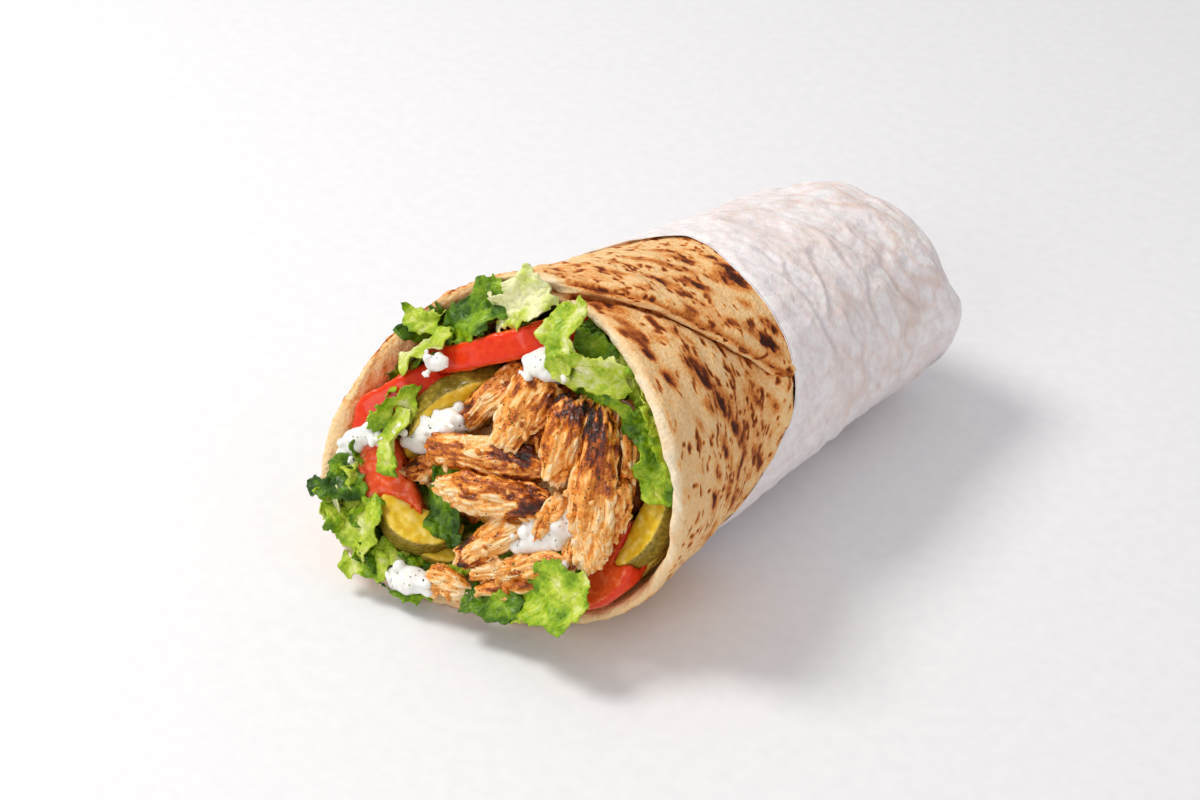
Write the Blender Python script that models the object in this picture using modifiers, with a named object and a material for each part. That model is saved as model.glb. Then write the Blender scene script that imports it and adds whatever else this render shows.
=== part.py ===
"""Gyro wrap: flatbread rolled over grilled chicken, salad and sauce, its rear half in paper.

The roll lies along Y on the table, Z = 0, with its open mouth towards -Y and the paper's closed
end at +Y.
"""

import math

import bmesh
import bpy
from mathutils import Matrix, Vector, noise

MM = 0.001

# The roll is a flattened cone. Angles round it are in degrees from the table: 90 is the +X side,
# 180 the top and 270 the -X side.
MOUTH_Y = -81.5 * MM
TAIL_Y = 76.5 * MM
MOUTH_HALF_WIDTH = 46.3 * MM
TAIL_HALF_WIDTH = 30.2 * MM
MOUTH_HALF_HEIGHT = 40.1 * MM
TAIL_HALF_HEIGHT = 28.3 * MM
SECTION_POWER = 2.15
UNDERSIDE_SHARE = 0.045
FLOOR_BLEND = 1.2 * MM

# The filling pushes the mouth out here: (angle, spread in degrees, amount).
MOUTH_BULGES = ((268, 34, 0.8 * MM), (100, 45, 3.6 * MM), (50, 35, 1.2 * MM))
BULGE_END_Y = -10.0 * MM
BULGE_FULL_Y = -55.0 * MM

# The flatbread's front edge, as waves round the roll: (waves a turn, cosine part, sine part).
RIM_MIDDLE = -55.0 * MM
RIM_WAVES = ((1, -18.1 * MM, 8.0 * MM), (2, 2.3 * MM, 6.8 * MM))

# The sheet starts under its own flap, runs down the +X side, along the underside and up the -X
# side, and ends in the flap's free edge, which drifts down the +X side towards the tail.
BREAD_THICKNESS = 3.2 * MM
BREAD_END_Y = 73.5 * MM
LAYER_GAP = 0.7 * MM
INNER_END = 200.0
FLAP_START = 186.0
FLAP_DRIFT = 172.0
FLAP_DRIFT_END = 0.55
FLAP_RISE = 2.2 * MM
RISE_ANGLE = 90.0
SETTLE_ANGLE = 60.0
INNER_END_BLEND = 25.0
BREAD_GRID = (38, 7)

# The paper's front edge: (angle, distance from the origin along Y) round the roll.
PAPER_EDGE = (
    (0, -24 * MM), (35, -20 * MM), (67, -14 * MM), (91, -2 * MM), (126, 6 * MM), (160, 10 * MM),
    (198, 15 * MM), (222, -8 * MM), (255, -22 * MM), (300, -28 * MM),
)
PAPER_THICKNESS = 0.6 * MM
PAPER_ROOM = 1.1 * MM
SQUEEZE_START = 26.0 * MM
SQUEEZE_LENGTH = 12.0 * MM
DRAPE_START = 8.0
DRAPE_ANGLE = 25.0
PAPER_GRID = (28, 8)
PAPER_SHOULDER = ((77.5 * MM, 1.0), (80.5 * MM, 0.95), (81.5 * MM, 0.82), (80 * MM, 0.42), (79 * MM, 0.0))
PAPER_PLEATS = 7
PAPER_PLEAT_DEPTH = 1.2 * MM
PAPER_EAR_ANGLE = 72.0
PAPER_EAR_SPREAD = 16.0
PAPER_EAR_REACH = 3.5 * MM
PAPER_EAR_START_Y = 60.0 * MM
PAPER_EAR_LENGTH = 17.0 * MM

# The mouth's own axes: U across it, V up it and N out of it, from its middle.
MOUTH_MIDDLE = Vector((0, -55 * MM, 37 * MM))
MOUTH_YAW = math.radians(10.1)
MOUTH_PITCH = math.radians(26.2)

CLEARANCE = 0.4 * MM
MOST_SHELL = 2.0
LINING_GAP = 1.8 * MM
LINING_THICKNESS = 8.0 * MM
LINING_RECESS = 12.0 * MM
CORE_GAP = 1.6 * MM
CORE_RECESS = 14.5 * MM
CORE_DOME = 3.0 * MM
# The core from its front's middle to its rear's: (share of the way back, share of its size).
CORE_STATIONS = (
    (0.0, 0.0), (0.0, 0.5), (0.0, 0.9), (0.03, 1.0), (0.35, 1.0), (0.7, 1.0), (1.0, 1.0), (1.0, 0.0),
)
LAYER_COLUMNS = 20
LAYER_ROWS = 12
LAYER_WAVE = 2.0 * MM
LAYER_WAVES = 7
FILLING_END_Y = 71.5 * MM
LEAF_THICKNESS = 1.2 * MM
LARGE_LEAF = 12.5
GUARD_COLUMNS = 36
GUARD_ROWS = 18
GUARD_CLEARANCE = 1.8 * MM

STRIP_SEGMENTS = 9
STRIP_RINGS = 6
STRIP_SWELL = 0.22
STRIP_LUMP = 0.9
STRIP_BLUNTNESS = 0.5
DOLLOP_SWELL = 0.35
DOLLOP_LUMP = 0.7
SEED_STEP = Vector((7.3, 3.1, 5.7))
SLICE_COLUMNS = 7

# A leaf's half width follows a sine from this phase over this span, between its least and full
# share. Its ripples run this many half turns along it, and lean across it by this angle.
LEAF_LEAST_SHARE = 0.55
LEAF_PHASE = 0.15
LEAF_SPAN = 0.7
LEAF_RIPPLES = 2.6
LEAF_LEAN = 1.7
LEAF_CALM = 0.35
LEAF_RAGGED = 0.12
LEAF_RAGGED_WAVES = 9
LEAF_SEED_STEP = 2.4

# Grilled chicken: (start, end, width, thickness, bend, taper), in millimetres on the mouth's axes,
# the front ones first.
CHICKEN_STRIPS = (
    ((0, 2, 4), (3, 21, -3), 14, 7, 1.5, 0.45),
    ((13, 19, 0), (14, 0, 3), 11, 8, 2, -0.1),
    ((19, 20, -1), (29, -17, 5), 12, 8, 2, -0.15),
    ((5, 11, -2), (12, -2, -1), 7, 6, 1, 0.0),
    ((-20, -4, 3), (11, 1, 0), 10, 7, 2, 0.1),
    ((-14, -11, 5), (15, -6, 2), 10, 7, 2, 0.15),
    ((-4, -27, 5), (10, -12, 2), 8, 7, 1, 0.1),
    ((1, -28, 6), (22, -17, 4), 5, 5, -1, 0.2),
    ((4, -30, 5), (16, -24, 3), 4.5, 4, 0, 0.1),
    ((-10, -33, 5), (1, -32, 3), 7, 5, 0, -0.2),
    ((-16, 2, -2), (-5, 19, -8), 9, 7, 1, 0.2),
    ((23, 18, -4), (30, 4, -1), 7, 7, 1, 0.1),
    ((29, 7, -1), (31, -8, 1), 5.5, 6, 1, 0.1),
    ((25, -1, 0), (29, -14, 1), 4, 5, 0, 0.0),
    ((17, -3, 2), (14, -14, 4), 5.5, 5, 1, -0.3),
    ((22, -10, 1), (23, -19, 3), 5, 5, 0, 0.1),
    ((-27, -13, -2), (-19, -9, -2), 6, 6, 0, 0.0),
)

# Tomato and pickle slices: (middle of the skin, face, towards the skin, radius, thickness, cut,
# spread, curl). The cut is where the straight side runs, as a share of the radius, and the spread
# how much of the arc is kept.
TOMATO_SLICES = (
    ((-10, 23, 0), (-0.50, 0.86, 0.1), (0.1, 0.0, 1), 34, 6.2, 0.1, 0.8, 1),
    ((-35.0, 2.3, 2), (-0.72, 0.68, 0.05), (0.18, 0.15, 1), 35, 6.2, 0.1, 0.8, 1),
    ((-34, -21, 2), (0.2, 0.3, 0.93), (-0.7, -0.7, 0.1), 15, 6, 0.2, 0.6, 0),
    ((35, -20, -4), (-0.3, 0.15, 0.94), (0.9, -0.4, 0.1), 15, 6.2, 0.3, 0.75, 0),
    ((-38, -12, -4), (0.3, 0.3, 0.9), (-0.8, 0.4, 0.2), 12, 5, 0.2, 0.8, 0),
)
PICKLE_SLICES = (
    ((-20, 12, -2), (0.73, -0.38, 0.56), (-0.17, 0.69, 0.69), 19, 6, 0.2, 0.93, 0),
    ((-17, -28, 5), (0.33, 0.74, 0.58), (0.25, -0.66, 0.71), 10.5, 5.5, 0.05, 0.9, 0),
    ((-12, -30, 2), (0.33, 0.74, 0.58), (0.25, -0.66, 0.71), 10, 2.5, 0.2, 0.9, 0),
    ((41, -4, -3), (-0.45, 0.2, 0.87), (0.95, -0.1, 0.3), 14, 5, 0.4, 0.9, 0),
    ((42, -12, -8), (-0.45, 0.2, 0.87), (0.95, -0.2, 0.3), 12, 4, 0.3, 0.9, 0),
)

# Sauce: (middle, length, width, depth, angle in the mouth), in millimetres and degrees.
SAUCE_DOLLOPS = (
    ((-21, -1, -1), 20, 8, 7, 38),
    ((-40, -10, 1), 14, 7, 6, 48),
    ((3, 23, 0), 13, 8, 7, 15),
    ((14, -13, 1), 18, 8, 7, 40),
    ((-14, -35, 5), 14, 6, 6, 10),
    ((-24, 15, 2), 6, 5, 4, 20),
)

# Lettuce: (root, tip, width, facing, curl, cup, ruffle), in millimetres on the mouth's axes.
LETTUCE_LEAVES = (
    ((12, -29, 2), (32, -22, 7), 14, (0.1, 0.3, 0.9), 2, 2, 1.5),
    ((1, -34, 4), (17, -31, 5), 6, (0, 0.4, 0.9), 1, 1, 1.0),
    ((-31, -20, 2), (-30, -34, 6), 12, (-0.2, 0.3, 0.9), 2, 1.5, 1.2),
    ((-40, -21, 5.5), (-38.5, -32, 6.5), 7, (-0.3, 0.3, 0.9), 1, 0, 0.8),
    ((-33, -18, 3), (-46, -21, 6), 9, (0, 0.5, 0.85), 2, 1, 0.8),
    ((-16, -32, 4), (-31, -37, 6), 6.5, (0, 0.3, 0.9), 1, 0.5, 0.8),
    ((-23, -37, 4), (-10, -39, 4), 5, (0, 0.3, 0.9), 1, 0, 0.8),
    ((-29, 1, 1), (-26, -14, 5), 7, (-0.3, 0, 0.95), 2, 1, 0.8),
    ((-27, 8, -1), (-37, -5, 3), 7, (0.4, -0.3, 0.85), 1, 1, 0.8),
    ((7, 39, -1), (11, 23, 4), 9, (-0.4, 0.2, 0.9), 3, 2, 1.2),
    ((9, 26, 4), (27, 29, 2), 9, (0.1, -0.4, 0.85), 2, 2, 1.2),
    ((13, 21, 0), (33, 18, -2), 7, (0, -0.3, 0.95), 2, 1, 1.2),
    ((32, 19, -3), (38, 3, -2), 8, (0.3, 0.1, 0.95), 2, 1, 1.0),
    ((8, 36, -5), (19, 26, -4), 9, (0.2, 0.1, 0.95), 2, 1, 1.0),
    ((18, 35, -5), (29, 20, -4), 6, (0.4, 0.2, 0.9), 1, 1, 0.5),
    ((-15, 29, -5), (-2, 41, -2), 10, (0, 0, 1), 2, 2, 0.8),
    ((-5, 37, -9), (11, 37, -8), 8, (0, -0.3, 0.95), 1, 1, 0.8),
    ((-26, 19, -5), (-13, 35, -5), 10, (-0.2, 0.2, 0.95), 2, 1, 1.4),
    ((-27, 22, -5), (-38, 21, -2), 6, (0, 0.3, 0.95), 1, 1, 0.8),
    ((-23, 22, -2), (-34, 10, 1), 4, (-0.5, 0.5, 0.7), 1, 0, 0.5),
    ((-33, 17, -10), (-40.5, 5, -9), 7, (-0.4, 0.4, 0.8), 1, 0.5, 0.8),
    ((-17, -8, -3), (-9, -25, 0), 8, (0.1, 0.2, 0.95), 1, 1, 1.0),
)


def smooth(x):
    x = min(max(x, 0.0), 1.0)
    return x * x * (3 - 2 * x)


def blend(a, b, share):
    return a + (b - a) * share


def soft_floor(height):
    """A height levelled off to a true flat, so that the roll has an underside to lie on."""
    if height >= FLOOR_BLEND:
        return height
    return max(height + FLOOR_BLEND, 0.0) ** 2 / (4 * FLOOR_BLEND)


def half_sizes(y):
    share = (TAIL_Y - y) / (TAIL_Y - MOUTH_Y)
    width = blend(TAIL_HALF_WIDTH, MOUTH_HALF_WIDTH, share)
    height = blend(TAIL_HALF_HEIGHT, MOUTH_HALF_HEIGHT, share)
    return width, height


def bulge(around, y):
    """How far the filling pushes the mouth out."""
    reach = smooth((BULGE_END_Y - y) / (BULGE_END_Y - BULGE_FULL_Y))
    around %= 360
    pushes = (amount * math.exp(-(((around - at) / spread) ** 2)) for at, spread, amount in MOUTH_BULGES)
    return reach * sum(pushes)


def roll_point(around, y, depth):
    """A point on the roll, at a depth under its outer surface."""
    angle = math.radians(around)
    half_width, half_height = (half + bulge(around, y) for half in half_sizes(y))
    s, c = math.sin(angle), math.cos(angle)
    reach = (abs(s) ** SECTION_POWER + abs(c) ** SECTION_POWER) ** (-1 / SECTION_POWER)
    x = (half_width - depth) * s * reach
    z = roll_middle(y).z - (half_height - depth) * c * reach
    return Vector((x, y, depth + soft_floor(z - depth)))


def roll_middle(y):
    return Vector((0, y, half_sizes(y)[1] * (1 - UNDERSIDE_SHARE)))


def rim_y(around):
    angle = math.radians(around)
    return RIM_MIDDLE + sum(c * math.cos(n * angle) + s * math.sin(n * angle) for n, c, s in RIM_WAVES)


def paper_edge_y(around):
    """The paper's front edge at an angle, on a smooth line through PAPER_EDGE."""
    around %= 360
    count = len(PAPER_EDGE)
    i = max(k for k in range(count) if PAPER_EDGE[k][0] <= around)
    angles = [PAPER_EDGE[(i + k) % count][0] + 360 * ((i + k) // count) for k in (-1, 0, 1, 2)]
    values = [PAPER_EDGE[(i + k) % count][1] for k in (-1, 0, 1, 2)]
    span = angles[2] - angles[1]
    t = (around - angles[1]) / span
    enter = (values[2] - values[0]) / (angles[2] - angles[0]) * span
    leave = (values[3] - values[1]) / (angles[3] - angles[1]) * span
    return (
        (2 * t**3 - 3 * t**2 + 1) * values[1] + (t**3 - 2 * t**2 + t) * enter
        + (3 * t**2 - 2 * t**3) * values[2] + (t**3 - t**2) * leave
    )


def paper_squeeze(around, y):
    """How far the paper presses the bread in, growing from well ahead of its edge."""
    return PAPER_ROOM * smooth((y - paper_edge_y(around) + SQUEEZE_START) / SQUEEZE_LENGTH)


def flap_angle(share):
    """Where the flap's free edge lies at a share of the way from the mouth to the tail."""
    return FLAP_START - FLAP_DRIFT * min(share, FLAP_DRIFT_END)


def flap_rise(before_edge):
    """How far the flap stands out of the roll, this many degrees before its free edge."""
    return FLAP_RISE * (1 - smooth(before_edge / RISE_ANGLE))


def layer_drop(past_edge):
    """How far the bread sinks under its own flap, this many degrees past the flap's free edge."""
    step = BREAD_THICKNESS + LAYER_GAP
    if past_edge < 0:
        return step - flap_rise(-past_edge)
    return (step - FLAP_RISE) * (1 - smooth(past_edge / SETTLE_ANGLE))


def past_flap(around, y):
    """How many degrees past the flap's free edge this place lies; below 0 it is under the flap."""
    front = rim_y(around)
    return flap_angle(max(y - front, 0) / (BREAD_END_Y - front)) - around % 360


def cavity_depth(around, y):
    """The depth of the space inside the bread."""
    past_edge = past_flap(around, y)
    inner_end = smooth((around % 360 - INNER_END) / INNER_END_BLEND)
    return BREAD_THICKNESS + layer_drop(past_edge) * (1 - inner_end)


def flap_cover(around, y):
    """How far the flap lifts what is wrapped over it."""
    past_edge = past_flap(around, y)
    if past_edge < 0:
        return flap_rise(-past_edge)
    return FLAP_RISE * (1 - smooth((past_edge - DRAPE_START) / DRAPE_ANGLE))


def mouth_axes():
    level = math.cos(MOUTH_PITCH)
    n = Vector((math.sin(MOUTH_YAW) * level, -math.cos(MOUTH_YAW) * level, math.sin(MOUTH_PITCH)))
    u = Vector((math.cos(MOUTH_YAW), math.sin(MOUTH_YAW), 0))
    return Matrix((u, n.cross(u), n)).transposed()


def mouth_point(place):
    return MOUTH_MIDDLE + mouth_axes() @ (Vector(place) * MM)


def new_object(name, bm, material, collection):
    mesh = bpy.data.meshes.new(name)
    bm.normal_update()
    bm.to_mesh(mesh)
    bm.free()
    mesh.shade_smooth()
    mesh.set_sharp_from_angle(angle=math.radians(40))
    obj = bpy.data.objects.new(name, mesh)
    obj.data.materials.append(material)
    collection.objects.link(obj)
    return obj


def food_material(name, colour, roughness):
    material = bpy.data.materials.new(name)
    material.use_nodes = True
    shader = material.node_tree.nodes["Principled BSDF"]
    shader.inputs["Base Color"].default_value = (*colour, 1)
    shader.inputs["Roughness"].default_value = roughness
    shader.inputs["Metallic"].default_value = 0.0
    material.diffuse_color = (*colour, 1)
    return material


def face_outward(bm):
    bm.normal_update()
    bmesh.ops.recalc_face_normals(bm, faces=bm.faces)


def mapped_grid(columns, rows, place):
    """A grid of faces laid out by place(s, t), s and t from 0 to 1, welded where its sides meet."""
    bm = bmesh.new()
    bmesh.ops.create_grid(bm, x_segments=columns, y_segments=rows, size=1)
    for vert in bm.verts:
        vert.co = place((vert.co.x + 1) / 2, (vert.co.y + 1) / 2)
    bmesh.ops.remove_doubles(bm, verts=bm.verts, dist=0.01 * MM)
    face_outward(bm)
    return bm


def add_solidify(obj, thickness, offset):
    solidify = obj.modifiers.new("thickness", "SOLIDIFY")
    solidify.thickness = thickness
    solidify.offset = offset


def face_away_from(bm, middle_of):
    """Turns an open sheet's faces so that they look away from the roll's middle."""
    outward = 0.0
    for face in bm.faces:
        centre = face.calc_center_median()
        outward += (centre - middle_of(centre.y)).dot(face.normal)
    if outward < 0:
        bmesh.ops.reverse_faces(bm, faces=bm.faces)


def bread_place(s, t):
    edge = flap_angle(t)
    whole_turn = INNER_END - edge + 360
    turned = s * whole_turn
    around = INNER_END - turned
    y = blend(rim_y(around), BREAD_END_Y, t)
    depth = layer_drop(turned - (INNER_END - edge)) - flap_rise(whole_turn - turned)
    return roll_point(around, y, depth + paper_squeeze(around, y))


def make_flatbread(collection):
    bm = mapped_grid(*BREAD_GRID, bread_place)
    face_away_from(bm, roll_middle)
    bread = new_object("flatbread", bm, food_material("flatbread", (0.75, 0.52, 0.29), 0.8), collection)
    add_solidify(bread, BREAD_THICKNESS, -1)
    return bread


def ear_reach(around, y):
    """A folded corner of the paper that stands out low on the +X side, at the tail."""
    across = (around - PAPER_EAR_ANGLE) / PAPER_EAR_SPREAD
    return PAPER_EAR_REACH * math.exp(-across * across) * smooth((y - PAPER_EAR_START_Y) / PAPER_EAR_LENGTH)


def paper_point(around, y):
    return roll_point(around, y, -ear_reach(around, y) - flap_cover(around, y))


def paper_place(s, t):
    """The sleeve from its front edge to its shoulder, then its pleated end down to the middle."""
    around = 360 * s
    steps = len(PAPER_SHOULDER)
    row = t * PAPER_GRID[1]
    first = PAPER_GRID[1] - steps + 1
    if row <= first:
        return paper_point(around, blend(paper_edge_y(around), PAPER_SHOULDER[0][0], row / first))
    y, size = PAPER_SHOULDER[min(round(row - first), steps - 1)]
    edge = paper_point(around, y) - roll_middle(y)
    pleat = PAPER_PLEAT_DEPTH * math.cos(PAPER_PLEATS * math.radians(around)) * size * (1 - size) * 4
    return roll_middle(y) + edge * size + Vector((0, pleat, 0))


def make_paper_sleeve(collection):
    bm = mapped_grid(*PAPER_GRID, paper_place)
    face_away_from(bm, roll_middle)
    paper = new_object("paper_sleeve", bm, food_material("paper", (0.84, 0.82, 0.84), 0.6), collection)
    add_solidify(paper, PAPER_THICKNESS, -1)
    return paper


def wall_station(t, rows):
    """The share of the way back at a row that runs down a wall's outside and returns along its inside."""
    station = round(t * rows) % rows
    last = rows // 2 - 1
    inside = station > last
    return (rows - 1 - station if inside else station) / last, inside


def lining_place(s, t):
    around = 360 * s
    share, inside = wall_station(t, LAYER_ROWS)
    front = rim_y(around) + LINING_RECESS + LAYER_WAVE * math.sin(math.radians(LAYER_WAVES * around))
    y = blend(front, FILLING_END_Y, share)
    depth = cavity_depth(around, y) + LINING_GAP + paper_squeeze(around, y)
    return roll_point(around, y, depth + (LINING_THICKNESS if inside else 0))


def make_lettuce_layer(collection):
    bm = mapped_grid(LAYER_COLUMNS, LAYER_ROWS, lining_place)
    material = food_material("lettuce layer", (0.22, 0.42, 0.06), 0.5)
    return new_object("lettuce_layer", bm, material, collection)


def core_place(s, t):
    """From the middle of the core's domed front, along its side, to the middle of its rear."""
    around = 360 * s
    share, size = CORE_STATIONS[round(t * (len(CORE_STATIONS) - 1))]
    y = blend(rim_y(around) + CORE_RECESS, FILLING_END_Y, share)
    if share == 0:
        y = blend(RIM_MIDDLE + CORE_RECESS, y, size) - CORE_DOME * (1 - size * size)
    squeeze = paper_squeeze(around, y)
    depth = cavity_depth(around, y) + LINING_GAP + LINING_THICKNESS + CORE_GAP + squeeze
    return roll_middle(y) + (roll_point(around, y, depth) - roll_middle(y)) * size


def make_chicken_filling(collection):
    bm = mapped_grid(LAYER_COLUMNS, len(CORE_STATIONS) - 1, core_place)
    material = food_material("chicken filling", (0.52, 0.27, 0.10), 0.55)
    return new_object("chicken_filling", bm, material, collection)


def axes_along(along, facing):
    """A rotation whose X runs along and whose Z looks as nearly as it can towards facing."""
    x = along.normalized()
    z = (facing - facing.project(x)).normalized()
    return Matrix((x, z.cross(x), z)).transposed()


def axes_facing(facing, towards):
    """A rotation whose Z looks along facing and whose X points as nearly as it can towards."""
    z = facing.normalized()
    x = (towards - towards.project(z)).normalized()
    return Matrix((x, z.cross(x), z)).transposed()


def lumps(point, seed, size):
    return noise.noise(point / size + SEED_STEP * seed)


def make_chicken_strip(name, seed, spec, material, collection):
    start, end, width, thickness, bend, taper = spec
    first, last = mouth_point(start), mouth_point(end)
    axes = axes_along(last - first, mouth_axes() @ Vector((0, 0, 1)))
    half = (last - first).length / 2
    bm = bmesh.new()
    bmesh.ops.create_uvsphere(bm, u_segments=STRIP_SEGMENTS, v_segments=STRIP_RINGS, radius=1)
    for vert in bm.verts:
        along, radius = vert.co.z, math.hypot(vert.co.x, vert.co.y)
        blunt = radius**STRIP_BLUNTNESS / max(radius, 1e-6)
        side, up = vert.co.x * blunt, vert.co.y * blunt
        swell = (1 + taper * along) * (1 + STRIP_SWELL * lumps(vert.co, seed, STRIP_LUMP))
        vert.co = (first + last) / 2 + axes @ Vector((
            along * half,
            side * swell * width * MM / 2,
            up * swell * thickness * MM / 2 + bend * MM * (1 - along * along),
        ))
    face_outward(bm)
    return new_object(name, bm, material, collection)


def make_slice(name, spec, material, collection):
    """A piece of a round slice, between a straight cut and the skin's arc."""
    apex, face, skin, radius, thickness, cut, spread, curl = spec
    axes = axes_facing(mouth_axes() @ Vector(face), mouth_axes() @ Vector(skin))
    middle = mouth_point(apex) - axes @ Vector((radius * MM, 0, 0))
    widest = math.acos(cut) * spread

    def slice_place(s, t):
        angle = widest * (2 * s - 1)
        arc = Vector((math.cos(angle), math.sin(angle), 0)) * radius
        chord = Vector((cut * radius, arc.y, 0))
        point = chord.lerp(arc, t)
        point.z = curl * (point.y / radius) ** 2
        return middle + axes @ point * MM

    obj = new_object(name, mapped_grid(SLICE_COLUMNS, 1, slice_place), material, collection)
    add_solidify(obj, thickness * MM, 0)
    return obj


def make_leaf(name, seed, spec, material, collection):
    """A torn leaf that narrows to its root, curls along its length and ruffles towards its edge."""
    root, tip, width, facing, curl, cup, ruffle = spec
    first, last = mouth_point(root), mouth_point(tip)
    axes = axes_along(last - first, mouth_axes() @ Vector(facing))
    length = (last - first).length

    def leaf_place(s, t):
        across = 2 * t - 1
        fullness = math.sin(math.pi * (LEAF_PHASE + LEAF_SPAN * s))
        half_width = width / 2 * blend(LEAF_LEAST_SHARE, 1, fullness)
        ripple = math.sin(LEAF_RIPPLES * math.pi * s + LEAF_LEAN * across + seed)
        height = (
            curl * (4 * s * (1 - s)) + cup * across**2
            + ruffle * blend(LEAF_CALM, 1, abs(across)) * ripple
        )
        tear = math.sin(LEAF_RAGGED_WAVES * s + LEAF_SEED_STEP * seed + across)
        side = half_width * across * (1 + LEAF_RAGGED * tear)
        return first + axes @ Vector((length * s, side * MM, height * MM))

    bm = mapped_grid(4, 3 if width > LARGE_LEAF else 2, leaf_place)
    obj = new_object(name, bm, material, collection)
    add_solidify(obj, LEAF_THICKNESS, 0)
    return obj


def make_dollop(name, seed, spec, material, collection):
    middle, length, width, depth, angle = spec
    axes = mouth_axes() @ Matrix.Rotation(math.radians(angle), 3, "Z")
    bm = bmesh.new()
    bmesh.ops.create_icosphere(bm, subdivisions=2, radius=1)
    for vert in bm.verts:
        swell = 1 + DOLLOP_SWELL * lumps(vert.co, seed, DOLLOP_LUMP)
        half_size = Vector((length, width, depth)) * MM / 2
        vert.co = mouth_point(middle) + axes @ (vert.co * half_size * swell)
    face_outward(bm)
    return new_object(name, bm, material, collection)


def bread_guard_place(s, t):
    """Round the bread's wall with a little room on every side, for trimming what lies in the mouth."""
    around = 360 * s
    share, inside = wall_station(t, GUARD_ROWS)
    y = blend(rim_y(around) - GUARD_CLEARANCE, BREAD_END_Y, share)
    if inside:
        return roll_point(around, y, cavity_depth(around, y) + paper_squeeze(around, y) + GUARD_CLEARANCE)
    return roll_point(around, y, -FLAP_RISE - GUARD_CLEARANCE)


def add_bread_guard(collection):
    bm = mapped_grid(GUARD_COLUMNS, GUARD_ROWS, bread_guard_place)
    mesh = bpy.data.meshes.new("bread_guard")
    bm.to_mesh(mesh)
    bm.free()
    return add_cutter("bread_guard", mesh, collection)


def evaluated_mesh(obj):
    graph = bpy.context.evaluated_depsgraph_get()
    return bpy.data.meshes.new_from_object(obj.evaluated_get(graph))


def add_clearance(obj, collection):
    """A hidden copy of a piece, larger by the clearance, which trims every piece placed after it."""
    mesh = evaluated_mesh(obj)
    bm = bmesh.new()
    bm.from_mesh(mesh)
    bm.normal_update()
    steps = [v.normal * CLEARANCE * min(v.calc_shell_factor(), MOST_SHELL) for v in bm.verts]
    for vert, step in zip(bm.verts, steps):
        vert.co += step
    bm.to_mesh(mesh)
    bm.free()
    add_cutter(obj.name + "_clearance", mesh, collection)


def add_cutter(name, mesh, collection):
    cutter = bpy.data.objects.new(name, mesh)
    cutter.hide_render = True
    cutter.display_type = "WIRE"
    collection.objects.link(cutter)
    return cutter


def keep_largest_part(mesh):
    bm = bmesh.new()
    bm.from_mesh(mesh)
    parts, left = [], set(bm.faces)
    while left:
        reached, frontier = [], [left.pop()]
        while frontier:
            face = frontier.pop()
            reached.append(face)
            for other in {f for edge in face.edges for f in edge.link_faces} & left:
                left.remove(other)
                frontier.append(other)
        parts.append(reached)
    parts.sort(key=lambda part: -sum(face.calc_area() for face in part))
    bmesh.ops.delete(bm, geom=[face for part in parts[1:] for face in part], context="FACES")
    bm.to_mesh(mesh)
    bm.free()


def trim(obj, cutters):
    """Cuts everything already placed out of a piece, and keeps its largest part."""
    cut = obj.modifiers.new("trim", "BOOLEAN")
    cut.operation = "DIFFERENCE"
    cut.solver = "EXACT"
    cut.operand_type = "COLLECTION"
    cut.collection = cutters
    mesh = evaluated_mesh(obj)
    keep_largest_part(mesh)
    obj.modifiers.clear()
    obj.data = mesh


def place_filling(obj, cutters):
    """Trims a piece by those in front of it, then lets it trim those behind."""
    whole = evaluated_mesh(obj)
    trim(obj, cutters)
    trimmed, obj.data = obj.data, whole
    add_clearance(obj, cutters)
    obj.data = trimmed


def make_fillings(collection, cutters):
    chicken = food_material("grilled chicken", (0.62, 0.30, 0.10), 0.5)
    tomato = food_material("tomato", (0.75, 0.06, 0.02), 0.25)
    pickle = food_material("pickle", (0.48, 0.42, 0.04), 0.3)
    lettuce = food_material("lettuce", (0.27, 0.50, 0.07), 0.45)
    sauce = food_material("sauce", (0.88, 0.86, 0.80), 0.3)
    for i, spec in enumerate(CHICKEN_STRIPS, 1):
        place_filling(make_chicken_strip(f"chicken_strip_{i:02}", i, spec, chicken, collection), cutters)
    for i, spec in enumerate(PICKLE_SLICES, 1):
        place_filling(make_slice(f"pickle_slice_{i}", spec, pickle, collection), cutters)
    for i, spec in enumerate(TOMATO_SLICES, 1):
        place_filling(make_slice(f"tomato_slice_{i}", spec, tomato, collection), cutters)
    for i, spec in enumerate(SAUCE_DOLLOPS, 1):
        place_filling(make_dollop(f"sauce_dollop_{i}", i, spec, sauce, collection), cutters)
    for i, spec in enumerate(LETTUCE_LEAVES, 1):
        place_filling(make_leaf(f"lettuce_leaf_{i:02}", i, spec, lettuce, collection), cutters)


def new_collection(name):
    collection = bpy.data.collections.new(name)
    bpy.context.scene.collection.children.link(collection)
    return collection


def main():
    for obj in list(bpy.data.objects):
        bpy.data.objects.remove(obj, do_unlink=True)
    wrap = new_collection("gyro_wrap")
    cutters = new_collection("clearances")
    cutters.hide_render = True
    make_flatbread(wrap)
    make_paper_sleeve(wrap)
    guard = add_bread_guard(cutters)
    make_fillings(wrap, cutters)
    cutters.objects.unlink(guard)
    for filling in (make_chicken_filling(wrap), make_lettuce_layer(wrap)):
        trim(filling, cutters)


main()
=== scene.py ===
"""Gyro wrap: the looks of a rolled flatbread over grilled chicken, salad and sauce, half wrapped in paper.

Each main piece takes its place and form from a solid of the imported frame, and adds the fine surface
to it. Small scraps, drops and flakes lie between these pieces and on them.
"""

import itertools
import math

import bmesh
import bpy
import numpy as np
from mathutils import Matrix, Vector
from mathutils.bvhtree import BVHTree


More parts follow.
